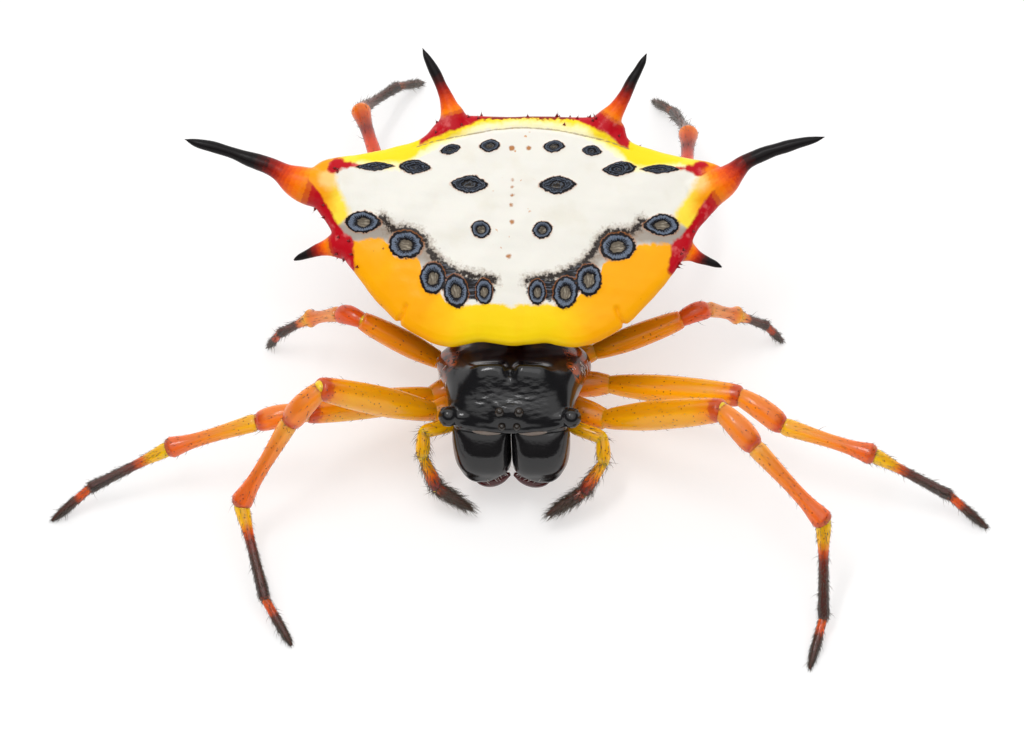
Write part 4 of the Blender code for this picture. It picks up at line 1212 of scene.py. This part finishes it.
# Share along and radius of each segment of a leg, and how much thicker or thinner each pair is
LEG_PROFILES = [
    [(0.0, 0.34), (0.3, 0.4), (0.7, 0.38), (0.9, 0.33), (1.0, 0.3)],
    [(0.0, 0.25), (0.05, 0.29), (0.14, 0.34), (0.4, 0.42), (0.7, 0.41), (0.92, 0.36), (1.0, 0.32)],
    [(0.0, 0.25), (0.15, 0.29), (0.5, 0.34), (0.8, 0.34), (0.94, 0.3), (1.0, 0.25)],
    [
        (0.0, 0.22), (0.05, 0.26), (0.15, 0.25), (0.5, 0.205), (0.75, 0.22), (0.9, 0.28), (0.97, 0.31),
        (1.0, 0.28),
    ],
    [
        (0.0, 0.2), (0.06, 0.22), (0.18, 0.19), (0.32, 0.15), (0.5, 0.138), (0.8, 0.15), (0.95, 0.165),
        (1.0, 0.15),
    ],
    [(0.0, 0.1), (0.06, 0.12), (0.3, 0.125), (0.6, 0.13), (0.85, 0.1), (1.0, 0.05)],
]
PAIR_SCALE = {1: (1.0, 1.0), 2: (0.95, 0.97), 3: (0.82, 0.85), 4: (0.9, 0.92)}
PALP_PROFILES = [
    [(0.0, 0.17), (0.2, 0.2), (0.8, 0.2), (1.0, 0.17)],
    [(0.0, 0.16), (0.4, 0.2), (0.8, 0.2), (1.0, 0.16)],
    [(0.0, 0.14), (0.3, 0.16), (0.8, 0.19), (1.0, 0.16)],
    [(0.0, 0.13), (0.1, 0.16), (0.5, 0.15), (0.85, 0.1), (1.0, 0.04)],
]
SEGMENT_SIDES = 24
# Colours of each limb by segment number and share along it
LEG_COLOURS = {
    1: [
        (0.0, (222, 124, 14)), (0.9, (240, 150, 14)), (1.05, (252, 172, 8)), (1.8, (254, 172, 10)),
        (1.92, (252, 150, 14)), (1.95, (206, 78, 22)), (1.99, (206, 78, 22)), (2.04, (252, 148, 34)),
        (2.8, (248, 132, 38)), (2.97, (206, 62, 26)), (3.03, (254, 174, 60)), (3.3, (250, 142, 44)),
        (3.8, (246, 118, 40)), (3.94, (240, 106, 34)), (3.98, (190, 56, 26)),
        (4.02, (254, 196, 14)), (4.22, (252, 184, 18)), (4.32, (224, 88, 22)), (4.42, (124, 50, 38)),
        (4.56, (82, 60, 52)), (4.97, (62, 50, 47)), (5.02, (232, 96, 26)), (5.3, (222, 84, 28)),
        (5.4, (92, 52, 42)), (5.6, (66, 56, 51)), (6.0, (62, 54, 48)),
    ],
    2: [
        (0.0, (222, 124, 14)), (0.9, (240, 150, 14)), (1.05, (252, 172, 8)), (1.8, (254, 176, 10)),
        (1.92, (252, 150, 14)), (1.95, (206, 78, 22)), (1.99, (206, 78, 22)), (2.04, (252, 152, 34)),
        (2.8, (248, 132, 38)), (2.97, (206, 62, 26)), (3.03, (254, 190, 30)), (3.4, (252, 158, 40)),
        (3.8, (244, 118, 42)), (3.94, (236, 104, 36)), (3.98, (190, 56, 28)),
        (4.02, (254, 200, 14)), (4.25, (252, 190, 20)), (4.36, (228, 94, 24)), (4.46, (106, 52, 42)),
        (4.62, (82, 66, 60)), (4.97, (64, 54, 52)), (5.02, (232, 98, 28)), (5.3, (222, 86, 28)),
        (5.4, (92, 54, 44)), (5.6, (66, 56, 51)), (6.0, (62, 54, 48)),
    ],
    3: [
        (0.0, (236, 140, 14)), (1.1, (254, 176, 10)), (1.9, (254, 160, 16)), (2.05, (232, 96, 26)),
        (2.9, (222, 84, 28)), (3.05, (248, 166, 92)), (3.8, (240, 140, 80)), (4.03, (252, 184, 40)),
        (4.3, (236, 120, 40)), (4.42, (96, 66, 56)), (4.95, (66, 56, 52)), (5.03, (210, 84, 34)),
        (5.35, (184, 70, 34)), (5.48, (60, 52, 48)), (6.0, (56, 50, 46)),
    ],
    4: [
        (0.0, (226, 130, 14)), (1.1, (250, 164, 12)), (1.9, (248, 146, 16)), (2.1, (240, 110, 20)),
        (2.9, (230, 84, 20)), (3.05, (236, 84, 14)), (3.45, (218, 66, 20)), (3.65, (128, 44, 34)),
        (3.85, (210, 86, 24)), (3.98, (246, 132, 12)), (4.04, (196, 160, 150)), (4.15, (104, 78, 70)),
        (4.6, (66, 56, 52)), (4.95, (60, 54, 50)), (5.03, (186, 112, 84)), (5.15, (150, 100, 80)),
        (5.28, (84, 76, 70)), (6.0, (92, 86, 80)),
    ],
    "palp": [
        (1.0, (252, 180, 4)), (2.9, (254, 190, 6)), (3.3, (250, 170, 8)), (3.6, (234, 104, 22)),
        (3.85, (150, 44, 26)), (4.0, (120, 40, 30)), (4.05, (220, 98, 40)), (4.15, (150, 66, 46)),
        (4.3, (84, 66, 58)), (5.0, (70, 60, 54)),
    ],
}
# How thickly bristles stand, by segment number and share along it
LEG_HAIR = (
    [0.0, 1.0, 2.0, 3.0, 3.9, 4.0, 4.3, 4.5, 5.0, 5.25, 5.4, 6.0],
    [0.01, 0.02, 0.03, 0.05, 0.1, 0.12, 0.35, 0.8, 0.9, 0.6, 1.3, 1.3],
)
PALP_HAIR = ([1.0, 2.5, 3.2, 3.8, 4.0, 4.15, 5.0], [0.05, 0.08, 0.2, 0.5, 0.5, 1.0, 1.0])
LEG_BRISTLES = (300.0, 0.13, 0.007, 0.45)
LONG_LEG_BRISTLES = (14.0, 0.26, 0.009, 0.6)
PALP_BRISTLES = (420.0, 0.3, 0.009, 0.45)
JOINT_SHARE = 0.85
PALP_JOINT = 0.15


def aim(yaw, pitch, side):
    """A unit vector: yaw is turned outward from straight ahead, pitch is up from level."""
    yaw, pitch = math.radians(yaw), math.radians(pitch)
    return Vector((side * math.sin(yaw) * math.cos(pitch), -math.cos(yaw) * math.cos(pitch), math.sin(pitch)))


def add_segment(mesh, start, end, profile, number, scale=1.0, bow=0.0):
    """One hard tube of a limb with domed ends, which keeps its place and its upper side."""
    line = end - start
    along = line.normalized()
    across = along.cross(Vector((0.0, 0.0, 1.0))).normalized()
    up = across.cross(along)
    smooth = [(p.x, max(p.y, 0.02) * scale) for p in curve_through([(s, r, 0.0) for s, r in profile], 4)]
    first, last = smooth[0][1], smooth[-1][1]
    dome = (0.3, 0.6, 0.95, 1.3)
    stations = [(0.0, -0.5 * first * math.sin(a), first * math.cos(a)) for a in reversed(dome)]
    stations += [(s, s * line.length, r) for s, r in smooth]
    stations += [(1.0, line.length + 0.5 * last * math.sin(a), last * math.cos(a)) for a in dome]
    rings = []
    turns = [math.tau * k / SEGMENT_SIDES for k in range(SEGMENT_SIDES)]
    for share, travel, radius in stations:
        middle = start + along * travel + up * (bow * math.sin(math.pi * share))
        rings.append([middle + across * (radius * math.cos(t)) + up * (radius * math.sin(t)) for t in turns])
    rows = add_rings(mesh, rings)
    reach, top = mesh.verts.layers.float["reach"], mesh.verts.layers.float["top"]
    lie, unwrap = mesh.verts.layers.float_vector["lie"], mesh.verts.layers.float_vector["unwrap"]
    # The place is the segment's number and the share along it, kept just short of its neighbours
    for row, (share, _, _) in zip(rows, stations):
        place = number + 0.02 + 0.96 * share
        for k, vert in enumerate(row):
            vert[reach] = place
            vert[top] = math.sin(turns[k])
            vert[lie] = along
            vert[unwrap] = (place / 6.1, 0.01 + 0.97 * k / SEGMENT_SIDES, 0.0)


def add_joint(mesh, centre, radius, number):
    """The soft skin inside one bend."""
    reach = mesh.verts.layers.float["reach"]
    soft = mesh.verts.layers.float["soft"]
    for vert in add_ball(mesh, centre, (radius,) * 3, 24):
        vert[reach] = number
        vert[soft] = 1.0


def new_limb():
    """An empty mesh that can keep reach, upper side and softness at its vertices."""
    mesh = bmesh.new()
    for name in ("reach", "top", "soft"):
        mesh.verts.layers.float.new(name)
    for name in ("lie", "unwrap"):
        mesh.verts.layers.float_vector.new(name)
    return mesh


def limb_finish(name, colours, first, last):
    """Banded colours along a limb, from the first to the last segment number."""
    finish = Finish(name, roughness=0.2, glow=0.36, depth=0.15, specular=0.45)
    wobble = finish.times(finish.waver(0.12), 0.08)
    place = finish.plus(finish.read("reach"), wobble)
    share = finish.number("DIVIDE", finish.minus(place, first), last - first)
    colour = finish.ramp(share, [((at - first) / (last - first), tone(*c)) for at, c in colours])
    # A red-brown ridge along the top and the dark sockets of the bristles
    ridge = finish.times(finish.step(0.75, 0.95, finish.read("top")), 0.5)
    colour = finish.mix(ridge, colour, finish.mix(0.5, colour, tone(120, 30, 14)))
    sockets = finish.times(finish.step(0.17, 0.11, finish.cells(0.17)), 0.7)
    colour = finish.mix(sockets, colour, tone(110, 34, 18))
    finish.paint(finish.mix(finish.read("soft"), colour, tone(252, 196, 24)))
    finish.relief(finish.noise(0.08, 3.0), 0.01, 0.4)
    return finish


def place_limb(name, limb, finish, hair):
    """Places a leg or a feeler, which keeps how thickly bristles stand along it."""
    piece = place_form(name, limb, Matrix.Identity(4), finish)
    reaches = np.empty(len(piece.data.vertices))
    piece.data.attributes["reach"].data.foreach_get("value", reaches)
    write_value(piece.data, "hair", np.interp(reaches, *hair))
    return piece


for pair in LEG_LENGTHS:
    finish = limb_finish(f"leg_{pair}", LEG_COLOURS[pair], 0.0, 6.0)
    thick, thin = PAIR_SCALE[pair]
    for word, side in SIDES:
        x, y, z = HIP_ROOTS[pair]
        joints = [HEAD_FRAME @ Vector((x * side, y, z)), Vector(HIP_ENDS[word, pair])]
        *aimed, tarsus_yaw = LEG_POSE[word, pair]
        for length, (yaw, pitch) in zip(LEG_LENGTHS[pair], aimed):
            joints.append(joints[-1] + aim(yaw, pitch, side) * length)
        tarsus = LEG_LENGTHS[pair][-1]
        drop = math.degrees(math.asin((FOOT_HEIGHT - joints[-1].z) / tarsus))
        joints.append(joints[-1] + aim(tarsus_yaw, drop, side) * tarsus)
        leg = new_limb()
        for number, (start, end) in enumerate(zip(joints, joints[1:])):
            scale = thick if number < 3 else thin
            profile = LEG_PROFILES[number]
            add_segment(leg, start, end, profile, number, scale, bow=0.1 if number == 2 else 0.0)
            if number:
                widest = max(profile[0][1], LEG_PROFILES[number - 1][-1][1] * 0.9)
                add_joint(leg, start, JOINT_SHARE * scale * widest, number)
        piece = place_limb(f"leg_{pair}_{word}", leg, finish, LEG_HAIR)
        limb = f"{pair}_{word}"
        seed = 10 * pair + side
        grow(f"bristles_{limb}", piece, bristle_brown, LEG_BRISTLES, seed)
        grow(f"long_bristles_{limb}", piece, bristle_brown, LONG_LEG_BRISTLES, seed + 50)

palp_finish = limb_finish("palp", LEG_COLOURS["palp"], 1.0, 5.0)
for word, side in SIDES:
    joints = [Vector(PALP_ROOTS[word])]
    for length, (yaw, pitch) in zip(PALP_LENGTHS, PALP_POSE[word]):
        joints.append(joints[-1] + aim(yaw, pitch, side) * length)
    palp = new_limb()
    for number, (start, end) in enumerate(zip(joints, joints[1:])):
        add_segment(palp, start, end, PALP_PROFILES[number], number + 1)
        if number:
            add_joint(palp, start, PALP_JOINT, number + 1)
    piece = place_limb(f"palp_{word}", palp, palp_finish, PALP_HAIR)
    grow(f"palp_bristles_{word}", piece, bristle_brown, PALP_BRISTLES, 70 + side)
